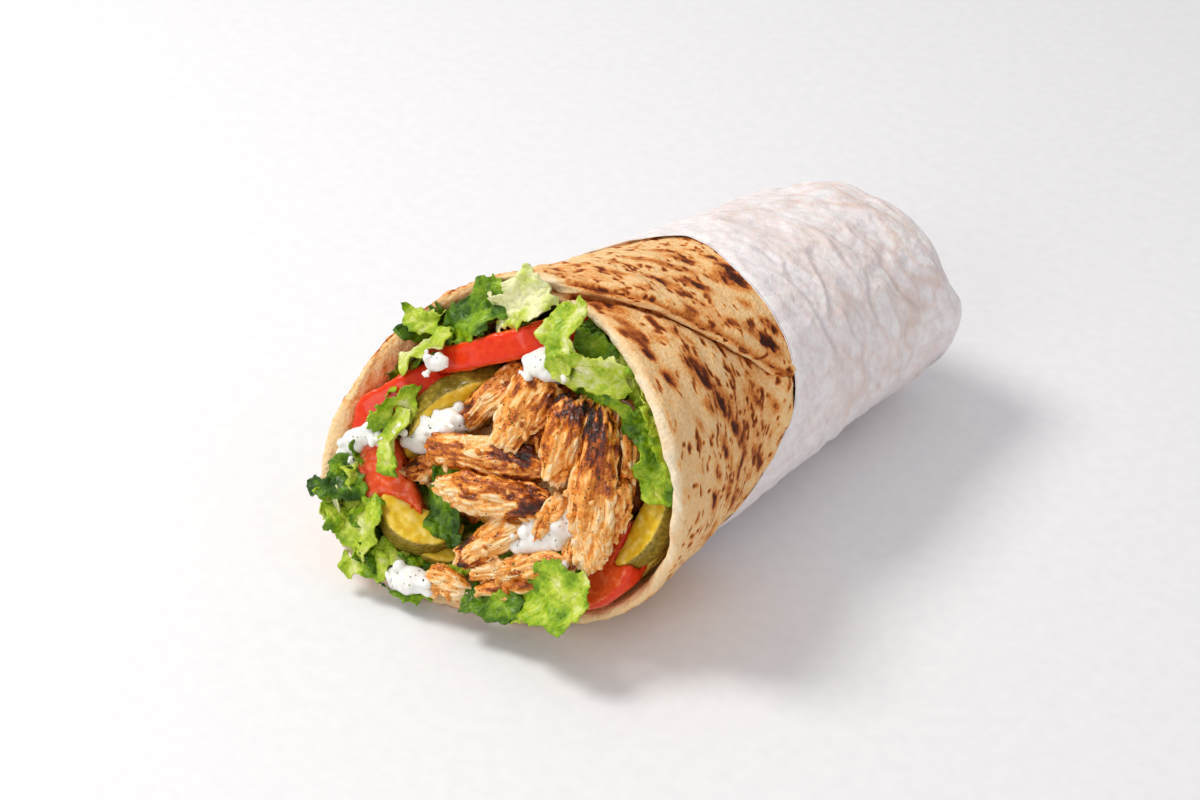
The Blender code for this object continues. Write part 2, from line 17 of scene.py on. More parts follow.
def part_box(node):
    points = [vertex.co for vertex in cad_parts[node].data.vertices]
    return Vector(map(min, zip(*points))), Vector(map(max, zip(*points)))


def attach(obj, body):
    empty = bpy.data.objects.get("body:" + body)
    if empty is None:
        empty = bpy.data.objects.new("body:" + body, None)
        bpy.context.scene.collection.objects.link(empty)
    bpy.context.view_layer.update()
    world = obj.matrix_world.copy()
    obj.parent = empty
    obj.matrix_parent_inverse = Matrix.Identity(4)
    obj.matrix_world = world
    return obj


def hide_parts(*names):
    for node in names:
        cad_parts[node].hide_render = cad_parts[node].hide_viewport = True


bl_info = {
    "name": "Gyro Wrap",
    "version": (1, 0, 0),
    "blender": (4, 5, 0),
    "location": "3D View > Sidebar > Gyro Wrap",
    "description": "Dresses the solids of a gyro wrap as flatbread, paper, grilled chicken, salad and sauce",
    "category": "Add Mesh",
}

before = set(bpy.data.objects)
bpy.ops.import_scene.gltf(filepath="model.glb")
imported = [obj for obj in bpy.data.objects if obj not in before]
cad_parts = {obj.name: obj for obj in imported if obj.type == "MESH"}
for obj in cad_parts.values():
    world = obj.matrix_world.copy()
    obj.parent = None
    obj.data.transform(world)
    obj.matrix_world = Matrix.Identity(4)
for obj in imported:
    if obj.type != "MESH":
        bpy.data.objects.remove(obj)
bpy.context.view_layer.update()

MM = 0.001

# The roll's middle line rises from the tail to the mouth: (y, height) at both. Its section is this
# many times as wide as high.
MIDDLE_TAIL = (76.5 * MM, 27.0 * MM)
MIDDLE_MOUTH = (-81.5 * MM, 38.3 * MM)
SECTION_RATIO = 1.1

# The mouth's own axes run across it, up it and out of it, from its middle.
MOUTH_MIDDLE = (0, -55 * MM, 37 * MM)
MOUTH_YAW = math.radians(10.1)
MOUTH_PITCH = math.radians(26.2)

# The flap's free edge: its angle round the roll at the rim and how far it drifts towards the tail,
# in degrees, at what share of the way it stops, and the cosine of its slant.
SEAM_START = 186
SEAM_DRIFT = 172
SEAM_DRIFT_END = 0.55
SEAM_SLANT = 0.74

# How far streaks on the bread slant towards the tail as they run down its +X side, and the listed
# marks on its flap and on its side.
STREAK_SLANT = 0.45
FLAP_MARK_SLANT = 0.6
SIDE_MARK_SLANT = 0.25

# The gap that the bread keeps from the paper, and how far it lies below its solid under the paper.
PAPER_CLEARANCE = 0.25 * MM
BREAD_SINK = 1.3 * MM

# Where the paper turns over the tail's end, and the largest radius at which its folds are laid out.
PAPER_CAP_Y = 76 * MM
FOLD_RADIUS = 31 * MM

# How high the middle of a flake lies over the food.
FLAKE_LIFT = 0.05 * MM

# How far behind the bread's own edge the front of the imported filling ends.
FILLING_SETBACK = 22 * MM

# Griddle marks on the bread: (angle round the roll, y in mm, half length round it, half width, darkness).
FLAP_MARKS = (
    (159, 7, 4.6, 3.2, 1.0), (165, 10, 3, 2.2, 0.8), (163, 3, 3, 1.6, 0.7), (164, -5, 4.6, 1.6, 0.8),
    (185, -6, 4, 1.5, 0.7), (189, 5, 3.6, 1.5, 0.6), (183, 10, 3, 1.4, 0.5), (179, 3, 4, 1.6, 0.75),
    (173, 10, 3, 2, 0.65), (182, -19, 4, 1.3, 0.6), (199, -25, 3, 1.2, 0.5), (195, -21, 3, 1.2, 0.5),
    (154, -14, 1.8, 1.8, 0.85), (143, -6, 2.4, 1.8, 0.7), (138, -2, 2.6, 2, 0.8), (131, 1, 4.4, 2.4, 1.0),
    (136, 5, 3, 1.8, 0.8), (148, 3, 2.4, 1.5, 0.6), (171, -12, 4.6, 1.5, 0.7), (176, -3, 4.8, 1.6, 0.8),
    (168, -19, 3, 1.2, 0.5), (188, -13, 3.4, 1.3, 0.5),
)
SIDE_MARKS = (
    (172, -29, 5.5, 2, 0.75), (162, -31, 3.6, 1.8, 0.7), (155, -32, 3, 2.2, 0.9),
    (147, -34, 2.4, 1.7, 0.75), (151, -28, 2.2, 1.4, 0.5), (145, -19, 2.2, 1.2, 0.5),
    (150, -22, 2.2, 1.2, 0.5), (134, -24, 4.4, 3.0, 1.0), (127, -22, 2.6, 1.8, 0.7),
    (120, -21, 4.8, 3.0, 1.0), (137, -34, 2.8, 2.0, 0.8), (122, -27, 2.4, 1.8, 0.7),
    (109, -19, 3.4, 2.2, 0.85), (106, -26, 4, 1.8, 0.7), (100, -31, 3.4, 1.5, 0.6),
    (91, -33, 3.2, 1.9, 0.75), (79, -21, 3.4, 1.6, 0.7), (114, -8, 3, 1.2, 0.5), (108, -3, 2.8, 1.2, 0.5),
    (98, -17, 2.8, 1.4, 0.6), (87, -26, 3.4, 1.5, 0.6), (70, -30, 3.4, 1.6, 0.6),
    (128, -12, 2, 1.2, 0.45), (119, -33, 2.4, 1.2, 0.5), (93, -12, 2.4, 1.2, 0.5),
    (84, -14, 2, 1.1, 0.45), (76, -29, 2.4, 1.4, 0.55), (66, -23, 2.4, 1.3, 0.5),
)

# Folds pressed into the paper: (first angle, y in mm, last angle, y in mm, depth, width).
PAPER_FOLDS = (
    (160, 18, 98, 23, 0.9, 3.0), (163, 55, 134, 54, 0.9, 3.0), (142, 46, 112, 41, 0.7, 2.4),
    (146, 70, 90, 76, 0.8, 2.6), (163, 40, 126, 21, 0.7, 2.8), (196, 44, 138, 43, 0.8, 3.2),
    (166, 26, 146, 22, 0.6, 2.4), (136, 52, 106, 61, 0.7, 2.6), (130, 28, 104, 34, 0.6, 2.4),
    (168, 44, 134, 52, 0.6, 2.6), (158, 68, 140, 73, 0.7, 2.4), (112, 30, 78, 40, 0.6, 2.8),
    (98, 48, 64, 58, 0.7, 2.8), (92, 12, 60, 20, 0.5, 2.6), (214, 22, 180, 30, 0.6, 3.0),
    (240, 40, 204, 58, 0.7, 3.0), (262, 10, 226, 16, 0.6, 3.0), (284, 30, 250, 44, 0.7, 3.0),
    (300, 55, 262, 66, 0.7, 2.8), (330, 10, 290, 22, 0.6, 3.0), (60, 30, 36, 50, 0.6, 3.0),
)

# Grilled chicken: how seared each strip is at its lower or left end and at its other, where its
# darkest patch lies along it, and how dark that is.
STRIP_LOOKS = (
    (0.12, 0.58, 0.70, 0.22), (0.34, 0.54, 0.95, 0.90), (0.14, 0.48, 0.90, 0.75),
    (0.62, 0.66, 0.50, 0.60), (0.46, 0.60, 0.80, 0.45), (0.38, 0.58, 0.95, 0.65),
    (0.56, 0.30, 0.04, 0.90), (0.24, 0.34, 0.50, 0.10), (0.44, 0.50, 0.20, 0.30),
    (0.22, 0.34, 0.10, 0.20), (0.40, 0.50, 0.10, 0.40), (0.46, 0.50, 0.90, 0.40),
    (0.34, 0.44, 0.30, 0.35), (0.46, 0.50, 0.70, 0.40), (0.16, 0.26, 0.90, 0.10),
    (0.24, 0.34, 0.20, 0.20), (0.60, 0.62, 0.50, 0.50),
)

# How far in mm each dollop swells past its solid.
SAUCE_SWELL = (0.5, 0.6, 0.4, 1.3, 0.5, -0.2)

# Small spots of sauce: their place in mm on the mouth's axes, and their size in mm.
SAUCE_SPOTS = (
    (22, -17, 4, 1.5), (24, -21, 4, 1.2), (9, -17, 4, 1.6), (5, -19, 4, 1.1), (-31, -5, 3, 1.6),
    (-28, -3, 3, 1.4), (-34, -8, 3, 1.5), (-26, 16, 3, 1.1), (-25, 12, 3, 0.9), (10, 23, 4, 1.2),
    (1, 20, 4, 1.3), (-19, -36, 7, 1.2), (-38, -14, 4, 1.2), (-15, 3, 4, 1.1),
)

# Which way each slice's skin looks, on the mouth's axes.
TOMATO_SKINS = ((0.1, 0.0, 1), (0.18, 0.15, 1), (-0.7, -0.7, 0.1), (0.9, -0.4, 0.1), (-0.8, 0.4, 0.2))
PICKLE_SKINS = (
    (-0.17, 0.69, 0.69), (0.25, -0.66, 0.71), (0.25, -0.66, 0.71), (0.95, -0.1, 0.3), (0.95, -0.2, 0.3),
)

# Lettuce: how pale each leaf is, from a dark outer tip to a pale heart leaf, how strong its rib is,
# and how far in mm its torn edge reaches past its solid.
LEAF_LOOKS = (
    (0.55, 0.15, 1.2), (0.26, 0.1, 1.2), (0.56, 0.1, 1.4), (0.80, 0.0, 1.4), (0.14, 0.1, 1.0),
    (0.50, 0.2, 1.2), (0.28, 0.0, 1.2), (0.52, 0.1, 0.0), (0.54, 0.2, 0.2), (0.66, 0.5, 0.8),
    (0.64, 0.35, 1.0), (0.30, 0.25, 1.3), (0.38, 0.2, 1.3), (0.28, 0.1, 1.3), (0.62, 0.0, 1.3),
    (0.86, 0.35, 0.6), (0.30, 0.2, 1.3), (0.26, 0.1, 1.2), (0.56, 0.2, 0.8), (0.70, 0.2, 0.3),
    (0.15, 0.1, 0.8), (0.18, 0.1, 1.2),
)
# How many cells a leaf's grid can grow past its solid.
GROWN_CELLS = 6

# Small torn leaves round the mouth: (angle round the roll, how far behind the rim, how far in from
# the wall, length and width, all in mm, and paleness).
SHREDS = (
    (96, 7, 3, 12, 8, 0.45), (108, 6, 3, 13, 9, 0.25), (119, 5, 3, 13, 9, 0.50), (129, 5, 4, 12, 9, 0.20),
    (139, 4, 3, 12, 9, 0.62), (148, 4, 4, 13, 10, 0.40), (157, 4, 4, 12, 9, 0.55),
    (166, 4, 4, 13, 10, 0.25), (175, 5, 5, 12, 9, 0.50), (184, 5, 5, 13, 10, 0.30),
    (193, 5, 5, 13, 9, 0.60), (202, 5, 4, 12, 9, 0.25), (211, 5, 4, 12, 8, 0.45),
    (220, 5, 4, 13, 9, 0.20), (229, 5, 3, 12, 9, 0.40), (238, 5, 3, 13, 9, 0.15),
    (247, 4, 3, 12, 8, 0.30), (256, 4, 3, 12, 8, 0.20), (265, 4, 2, 12, 8, 0.45),
    (275, 3, 2, 11, 8, 0.50), (285, 2, 2, 11, 8, 0.35), (295, 1, 2, 11, 9, 0.65),
    (305, 1, 2, 11, 9, 0.50), (315, 1, 2, 11, 9, 0.35), (325, 1, 3, 11, 9, 0.55),
    (335, 2, 3, 11, 8, 0.30), (345, 2, 3, 11, 8, 0.25), (357, 2, 3, 11, 8, 0.45), (10, 2, 3, 11, 8, 0.55),
    (24, 3, 3, 11, 8, 0.30), (294, -3, -2, 10, 7, 0.60), (216, 5, -3, 11, 8, 0.50),
    (226, 5, -5, 12, 9, 0.30), (234, 6, -5, 12, 9, 0.30), (242, 6, -5, 12, 9, 0.15),
    (250, 6, -5, 11, 8, 0.25), (259, 6, -6, 10, 7, 0.35), (121, 2, -1, 11, 8, 0.72),
    (111, 2, -1, 11, 8, 0.60), (133, 2, -1, 11, 8, 0.55), (302, -4, -2, 10, 9, 0.62),
    (311, -4, -1, 10, 9, 0.42), (320, -3, -1, 10, 8, 0.30), (331, -3, 0, 10, 8, 0.25),
)

WELD = 0.01 * MM


def linear(code):
    """An sRGB hex colour as linear red, green and blue."""
    parts = [int(code[i : i + 2], 16) / 255 for i in (1, 3, 5)]
    return tuple(c / 12.92 if c <= 0.04045 else ((c + 0.055) / 1.055) ** 2.4 for c in parts)


# Repeatable noise and curves, worked on whole arrays of points.


def hashed(cell, seed):
    """A repeatable number from 0 to 1 for each whole-numbered cell."""
    mixed = np.full(cell.shape[:-1], (seed * 7919 + 12345) & 0xFFFFFFFF, np.uint64)
    for k, factor in zip(range(cell.shape[-1]), (73856093, 19349663, 83492791)):
        mixed ^= (cell[..., k].astype(np.int64) & 0xFFFFF).astype(np.uint64) * np.uint64(factor)
        mixed = (mixed * np.uint64(2654435761)) & np.uint64(0xFFFFFFFF)
        mixed ^= mixed >> np.uint64(15)
    return (mixed & np.uint64(0xFFFFFF)) / 16777216.0


def noise(points, seed=0):
    """Smooth noise from -1 to 1 that changes once a unit."""
    base = np.floor(points)
    rest = points - base
    rest = rest * rest * rest * (rest * (rest * 6 - 15) + 10)
    total = 0
    for corner in itertools.product((0, 1), repeat=points.shape[-1]):
        corner = np.array(corner)
        weight = np.prod(np.where(corner == 1, rest, 1 - rest), axis=-1)
        total = total + weight * hashed(base + corner, seed)
    return total * 2 - 1


def fractal(points, seed=0, octaves=3):
    """Noise with finer noise on it."""
    return sum(noise(points * 2.03**k, seed + 31 * k) * 0.5**k for k in range(octaves))


def nearest_cells(points, seed=0):
    """The distances to the nearest and the second nearest of points strewn one to a unit cell."""
    base = np.floor(points)
    size = points.shape[-1]
    found = []
    for corner in itertools.product((-1, 0, 1), repeat=size):
        cell = base + np.array(corner)
        place = cell + np.stack([hashed(cell, seed + 17 * k + 1) for k in range(size)], -1)
        found.append(np.linalg.norm(points - place, axis=-1))
    found = np.partition(np.stack(found), 1, axis=0)
    return found[0], found[1]


def smooth(x):
    """An S curve from 0 to 1."""
    x = np.clip(x, 0.0, 1.0)
    return x * x * (3 - 2 * x)


def bell(x, width):
    """A curve that is 1 at 0 and falls off on both sides."""
    return np.exp(-((x / width) ** 2))


def inside_cells(points, seed, border):
    """From 0 where two cells of strewn points meet to 1 this far inside one."""
    first, second = nearest_cells(points, seed)
    return smooth((second - first) / border)


def drift(points, *seeds):
    """A smooth shift, with one part for each seed."""
    return np.stack([noise(points, seed) for seed in seeds], -1)


# Meshes.


def cad_bmesh(node):
    """A copy of a frame solid's mesh, welded into one closed surface."""
    bm = bmesh.new()
    bm.from_mesh(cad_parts[node].data)
    bmesh.ops.remove_doubles(bm, verts=bm.verts, dist=WELD)
    bm.normal_update()
    return bm


def as_mesh(name, bm):
    mesh = bpy.data.meshes.new(name)
    bm.to_mesh(mesh)
    bm.free()
    return mesh


def modified(mesh, kind, where=None, **settings):
    """The mesh after one modifier, which can be limited to some of the points."""
    holder = bpy.data.objects.new("holder", mesh)
    bpy.context.scene.collection.objects.link(holder)
    modifier = holder.modifiers.new("step", kind)
    if where is not None:
        holder.vertex_groups.new(name="where").add(np.nonzero(where)[0].tolist(), 1.0, "REPLACE")
        modifier.vertex_group = "where"
    for key, value in settings.items():
        setattr(modifier, key, value)
    graph = bpy.context.evaluated_depsgraph_get()
    result = bpy.data.meshes.new_from_object(holder.evaluated_get(graph))
    bpy.data.objects.remove(holder)
    bpy.data.meshes.remove(mesh)
    return result


def thinned(mesh, share, unseen):
    """The mesh with this share of its faces, losing them only where it isn't seen."""
    return modified(mesh, "DECIMATE", unseen, ratio=share)


def points_of(mesh):
    co = np.empty(len(mesh.vertices) * 3, np.float32)
    mesh.vertices.foreach_get("co", co)
    return co.reshape(-1, 3).astype(float)


def normals_of(mesh):
    normals = np.empty(len(mesh.vertices) * 3, np.float32)
    mesh.vertex_normals.foreach_get("vector", normals)
    return normals.reshape(-1, 3).astype(float)


def set_points(mesh, co):
    mesh.vertices.foreach_set("co", np.asarray(co, np.float32).ravel())
    mesh.update()


def relaxed(mesh, steps):
    """The mesh's points after each has moved halfway to the mean of its neighbours, some times."""
    co = points_of(mesh)
    ends = np.empty(len(mesh.edges) * 2, np.int32)
    mesh.edges.foreach_get("vertices", ends)
    ends = ends.reshape(-1, 2)
    both = np.concatenate([ends, ends[:, ::-1]])
    count = np.maximum(np.bincount(both[:, 0], minlength=len(co)), 1)[:, None]
    for _ in range(steps):
        mean = np.stack([np.bincount(both[:, 0], co[both[:, 1], k], len(co)) for k in range(3)], -1) / count
        co += (mean - co) * 0.5
    return co


def refined(name, bm, grain, steps):
    """A closed shape as an even mesh with softened edges, and its points and normals."""
    mesh = modified(as_mesh(name, bm), "REMESH", mode="VOXEL", voxel_size=grain, use_smooth_shade=True)
    set_points(mesh, relaxed(mesh, steps))
    return mesh, points_of(mesh), normals_of(mesh)


def paint(mesh, **painted):
    """Stores a number or a place for each point under each name, for the material to read."""
    for name, values in painted.items():
        values = np.asarray(values, np.float32)
        kind, key = ("FLOAT", "value") if values.ndim == 1 else ("FLOAT_VECTOR", "vector")
        mesh.attributes.new(name, kind, "POINT").data.foreach_set(key, values.ravel())


def show(name, mesh, material, slot, *nodes):
    """Adds a piece that stands for frame solids and rides with them."""
    mesh.name = name
    mesh.shade_smooth()
    mesh.materials.clear()
    mesh.materials.append(material)
    piece = bpy.data.objects.new(name, mesh)
    bpy.context.scene.collection.objects.link(piece)
    if nodes:
        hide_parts(*nodes)
    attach(piece, "root")
    return piece


def main_axes(co):
    """The middle of some points and their long, middle and short axes."""
    middle = co.mean(0)
    axes = np.linalg.eigh(np.cov((co - middle).T))[1][:, ::-1]
    if np.linalg.det(axes) < 0:
        axes[:, 2] *= -1
    return middle, axes


def facing_axes(yaw, pitch):
    """The axes to the right of, up and out of what faces this way, as the columns of an array."""
    out = np.array([math.sin(yaw) * math.cos(pitch), -math.cos(yaw) * math.cos(pitch), math.sin(pitch)])
    right = np.array([math.cos(yaw), math.sin(yaw), 0.0])
    return np.stack([right, np.cross(out, right), out], axis=1)


MOUTH_AXES = facing_axes(MOUTH_YAW, MOUTH_PITCH)
OUT_OF_MOUTH = MOUTH_AXES[:, 2]


def middle_height(y):
    """How high the roll's middle line lies, this far along it."""
    share = (y - MIDDLE_TAIL[0]) / (MIDDLE_MOUTH[0] - MIDDLE_TAIL[0])
    return MIDDLE_TAIL[1] + (MIDDLE_MOUTH[1] - MIDDLE_TAIL[1]) * share


def round_roll(co):
    """Each point's angle round the roll in degrees, from the table up the +X side, and its radius."""
    x = co[:, 0] / SECTION_RATIO
    z = co[:, 2] - middle_height(co[:, 1])
    return np.degrees(np.arctan2(x, -z)) % 360, np.hypot(x, z)


def outwards(angle):
    """The direction out of the roll at each angle round it."""
    return np.stack([np.sin(np.radians(angle)), 0 * angle, -np.cos(np.radians(angle))], -1)


def facing(normals, directions):
    """How far each normal points in its own direction, from -1 to 1."""
    return np.einsum("ij,ij->i", normals, directions)


def round_noise(arc, size, seed):
    """Noise that changes round the roll alone, once every so many mm."""
    return noise(np.stack([arc / MM / size, 0 * arc], -1), seed)


def front_of(node):
    """A function that gives, at an angle round the roll, how far forward a frame solid reaches."""
    co = points_of(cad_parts[node].data)
    angle = round_roll(co)[0]
    at = np.arange(0, 360, 10)
    front = [co[np.abs((angle - a + 180) % 360 - 180) < 8, 1].min() for a in at]
    return lambda angles: np.interp(angles, np.append(at, 360), np.append(front, front[0]))


def fine_sheet(node, longest):
    """A frame solid that is a bent sheet, as an even mesh of small four-sided faces."""
    bm = cad_bmesh(node)
    bmesh.ops.join_triangles(
        bm, faces=bm.faces, angle_face_threshold=math.pi, angle_shape_threshold=math.pi
    )
    for _ in range(2):
        long_edges = [edge for edge in bm.edges if edge.calc_length() > longest]
        bmesh.ops.subdivide_edges(bm, edges=long_edges, cuts=1, use_grid_fill=True)
    return modified(as_mesh(node, bm), "SUBSURF", levels=3, render_levels=3)


# Materials.


def add(tree, kind, inputs=(), **settings):
    """Adds a node. An input takes a value, a hex colour, a socket or a node, whose first output feeds it."""
    node = tree.nodes.new("ShaderNode" + kind)
    for key, value in settings.items():
        if key == "stops":
            ramp = node.color_ramp
            while len(ramp.elements) < len(value):
                ramp.elements.new(1.0)
            for element, (place, colour) in zip(ramp.elements, value):
                element.position = place
                element.color = (*(linear(colour) if isinstance(colour, str) else colour), 1)
        else:
            setattr(node, key, value)
    for key, value in dict(inputs).items():
        if isinstance(value, bpy.types.Node):
            value = value.outputs[0]
        if isinstance(value, bpy.types.NodeSocket):
            tree.links.new(value, node.inputs[key])
        else:
            node.inputs[key].default_value = (*linear(value), 1) if isinstance(value, str) else value
    return node


def new_material(name, inputs):
    """A material whose Principled shader has these values, its node tree, and the place on the object."""
    material = bpy.data.materials.new(name)
    material.use_nodes = True
    tree = material.node_tree
    for key, value in inputs.items():
        tree.nodes["Principled BSDF"].inputs[key].default_value = value
    return material, tree, add(tree, "TexCoord").outputs["Object"]


def finished(material, colour, bump=None):
    """The material with this colour and this bump on its Principled shader."""
    tree = material.node_tree
    shader = tree.nodes["Principled BSDF"]
    tree.links.new(colour, shader.inputs["Base Color"])
    if bump is not None:
        tree.links.new(bump.outputs["Normal"], shader.inputs["Normal"])
    return material


def baked_flatbread(look):
    """Wheat flatbread baked on a hot griddle: matt, floury crust, cream to tan, with brown blisters."""
    material, tree, place = new_material("Griddled wheat flatbread", {
        "Roughness": 0.78, "IOR": 1.45, "Specular IOR Level": 0.3,
        "Subsurface Weight": 0.12, "Subsurface Scale": 1.2 * MM, "Subsurface Radius": (1.0, 0.6, 0.35),
    })
    # The scorch attribute holds the baked marks and a painted shadow along the flap's seam.
    scorch = add(tree, "Attribute", attribute_name="scorch").outputs["Fac"]
    pale = add(tree, "Attribute", attribute_name="pale").outputs["Fac"]
    # The crumb's fine speckle is about 0.8 mm, and its warmer patches 6 mm across.
    speckle = add(tree, "TexNoise", {"Vector": place, "Scale": 1 / (0.8 * MM), "Detail": 3, "Roughness": 0.6})
    patches = add(tree, "TexNoise", {"Vector": place, "Scale": 1 / (6 * MM), "Detail": 4, "Roughness": 0.6})
    rough_edge = add(tree, "Math", {0: speckle, 1: 0.46, 2: -0.23}, operation="MULTIPLY_ADD")
    marks = add(tree, "Math", {0: scorch, 1: rough_edge}, operation="ADD", use_clamp=True)
    browned = add(tree, "ValToRGB", {"Fac": marks}, stops=(
        (0, "#FCE8C4"), (0.16, "#F6CF98"), (0.34, "#E39A50"),
        (0.50, "#B4642A"), (0.70, "#743512"), (1, "#341507"),
    ))
    ground = add(tree, "ValToRGB", {"Fac": patches}, stops=(
        (0.32, look.crumb), (0.55, "#FADDB2"), (0.75, "#F0C08A"),
    ))
    shown = add(tree, "Mix", {0: 0.6, 6: browned, 7: ground}, data_type="RGBA", blend_type="MULTIPLY")
    dough = add(tree, "Mix", {0: pale, 6: shown.outputs[2], 7: "#F6E6C8"}, data_type="RGBA")
    # The dough's small bubbles leave pits about 2 mm apart.
    pits = add(tree, "TexNoise", {"Vector": place, "Scale": 1 / (2.2 * MM), "Detail": 3, "Roughness": 0.55})
    uneven = add(tree, "Bump", {"Height": pits, "Strength": 0.7, "Distance": 0.9 * MM})
    bump = add(tree, "Bump", {"Height": speckle, "Strength": 0.9, "Distance": 0.45 * MM, "Normal": uneven})
    return finished(material, dough.outputs[2], bump)


def greaseproof_paper(look):
    """Thin bleached greaseproof paper, crumpled by hand: cool white, warmer where the food shows through."""
    material, tree, place = new_material("Bleached greaseproof paper", {
        "Roughness": 0.5, "IOR": 1.5, "Specular IOR Level": 0.35,
        "Subsurface Weight": 0.15, "Subsurface Scale": 1.0 * MM,
    })
    clear = add(tree, "Attribute", attribute_name="clear").outputs["Fac"]
    fold = add(tree, "Attribute", attribute_name="fold").outputs["Fac"]
    # Fibre clouds are about 3 mm across.
    cloud = add(tree, "TexNoise", {"Vector": place, "Scale": 1 / (3 * MM), "Detail": 5, "Roughness": 0.65})
    fibres = add(tree, "ValToRGB", {"Fac": cloud}, stops=((0.3, "#EBDEDE"), (0.62, look.paper)))
    warm = add(tree, "Mix", {0: clear, 6: fibres, 7: "#DDBBA6"}, data_type="RGBA")
    # Painted shade: the paper is darkened towards grey in the troughs of its folds.
    shaded = add(tree, "Mix", {0: fold, 6: warm.outputs[2], 7: "#CDC2C6"}, data_type="RGBA",
                 blend_type="MULTIPLY")
    # Crumpling leaves facets about 6 mm across, and finer ones of 2.5 mm.
    shaken = add(tree, "Mix", {0: 2 * MM, 6: place, 7: cloud.outputs["Color"]}, data_type="RGBA",
                 blend_type="LINEAR_LIGHT").outputs[2]
    wide = add(tree, "TexVoronoi", {"Vector": shaken, "Scale": 1 / (6 * MM)})
    narrow = add(tree, "TexVoronoi", {"Vector": shaken, "Scale": 1 / (2.5 * MM)})
    facets = add(tree, "Bump", {"Height": wide, "Strength": 0.7, "Distance": 1.0 * MM})
    bump = add(tree, "Bump", {"Height": narrow, "Strength": 0.35, "Distance": 0.4 * MM, "Normal": facets})
    return finished(material, shaded.outputs[2], bump)


def grilled_chicken(look):
    """Marinated chicken, grilled and pulled apart: pale moist fibres and a golden to charred crust."""
    material, tree, place = new_material("Grilled pulled chicken", {
        "Roughness": 0.36, "IOR": 1.42, "Specular IOR Level": 0.4,
        "Subsurface Weight": 0.1, "Subsurface Scale": 1.2 * MM, "Subsurface Radius": (1.0, 0.4, 0.15),
        "Coat Weight": 0.3, "Coat Roughness": 0.2,
    })
    sear = add(tree, "Attribute", attribute_name="sear").outputs["Fac"]
    along = add(tree, "Attribute", attribute_name="along").outputs["Vector"]
    # Fibres are about 0.5 mm thick and run 7 mm along the strip; spice grains are about 0.5 mm.
    across = 1 / (0.5 * MM)
    stretched = add(tree, "VectorMath", {0: along, 1: (1 / (7 * MM), across, across)}, operation="MULTIPLY")
    fibre = add(tree, "TexNoise", {"Vector": stretched, "Scale": 1, "Detail": 2})
    grain = add(tree, "TexNoise", {"Vector": place, "Scale": 1 / (0.5 * MM), "Detail": 3, "Roughness": 0.6})
    mottle = add(tree, "TexNoise", {"Vector": place, "Scale": 1 / (1.3 * MM), "Detail": 4, "Roughness": 0.65})
    level = sear
    for texture, reach in ((mottle, 0.40), (grain, 0.36), (fibre, 0.16)):
        part = add(tree, "Math", {0: texture, 1: reach, 2: -reach / 2}, operation="MULTIPLY_ADD")
        level = add(tree, "Math", {0: level, 1: part}, operation="ADD")
    crust = add(tree, "ValToRGB", {"Fac": level}, stops=(
        (0, look.meat), (0.16, "#FDD395"), (0.30, "#F8AE50"), (0.45, "#DF8120"),
        (0.60, "#AE5208"), (0.76, "#642303"), (0.95, "#1E0A03"),
    ))
    threads = add(tree, "Bump", {"Height": fibre, "Strength": 0.6, "Distance": 0.3 * MM})
    bump = add(tree, "Bump", {"Height": grain, "Strength": 0.5, "Distance": 0.25 * MM, "Normal": threads})
    return finished(material, crust.outputs["Color"], bump)


def cut_tomato(look):
    """Ripe tomato, sliced: a taut glossy skin over wet, paler flesh."""
    material, tree, place = new_material("Sliced ripe tomato", {
        "Roughness": 0.2, "IOR": 1.4, "Specular IOR Level": 0.3,
        "Subsurface Weight": 0.2, "Subsurface Scale": 2 * MM, "Subsurface Radius": (1.0, 0.25, 0.12),
        "Coat Weight": 0.2, "Coat Roughness": 0.08,
    })
    skin = add(tree, "Attribute", attribute_name="skin").outputs["Fac"]
    # Veins in the flesh are about 1.5 mm apart.
    veins = add(tree, "TexNoise", {"Vector": place, "Scale": 1 / (1.5 * MM), "Detail": 4, "Roughness": 0.6})
    flesh = add(tree, "ValToRGB", {"Fac": veins}, stops=(
        (0.3, "#E2430F"), (0.55, "#F0602A"), (0.78, "#FA9A66"),
    ))
    peel = add(tree, "ValToRGB", {"Fac": veins}, stops=((0.3, look.tomato), (0.75, "#F04A1C")))
    shown = add(tree, "Mix", {0: skin, 6: flesh, 7: peel}, data_type="RGBA")
    bump = add(tree, "Bump", {"Height": veins, "Strength": 0.15, "Distance": 0.3 * MM})
    return finished(material, shown.outputs[2], bump)


def pickled_cucumber(look):
    """Brined cucumber, sliced: clear yellow flesh inside a dull olive skin."""
    material, tree, place = new_material("Brined cucumber", {
        "Roughness": 0.24, "IOR": 1.38, "Specular IOR Level": 0.3,
        "Subsurface Weight": 0.25, "Subsurface Scale": 2 * MM, "Subsurface Radius": (1.0, 0.9, 0.2),
        "Coat Weight": 0.15, "Coat Roughness": 0.1,
    })
    skin = add(tree, "Attribute", attribute_name="skin").outputs["Fac"]
    # The seed mush is clouded about every 2.5 mm, and the skin is mottled about every 1 mm.
    cloud = add(tree, "TexNoise", {"Vector": place, "Scale": 1 / (2.5 * MM), "Detail": 4})
    mottle = add(tree, "TexNoise", {"Vector": place, "Scale": 1 / (1.0 * MM), "Detail": 3})
    flesh = add(tree, "ValToRGB", {"Fac": cloud}, stops=(
        (0.3, "#DCA818"), (0.5, look.pickle), (0.72, "#FAE084"),
    ))
    peel = add(tree, "ValToRGB", {"Fac": mottle}, stops=(
        (0.3, "#6B5A18"), (0.6, "#98822C"), (0.8, "#BBA75A"),
    ))
    shown = add(tree, "Mix", {0: skin, 6: flesh, 7: peel}, data_type="RGBA")
    bump = add(tree, "Bump", {"Height": mottle, "Strength": 0.25, "Distance": 0.3 * MM})
    return finished(material, shown.outputs[2], bump)


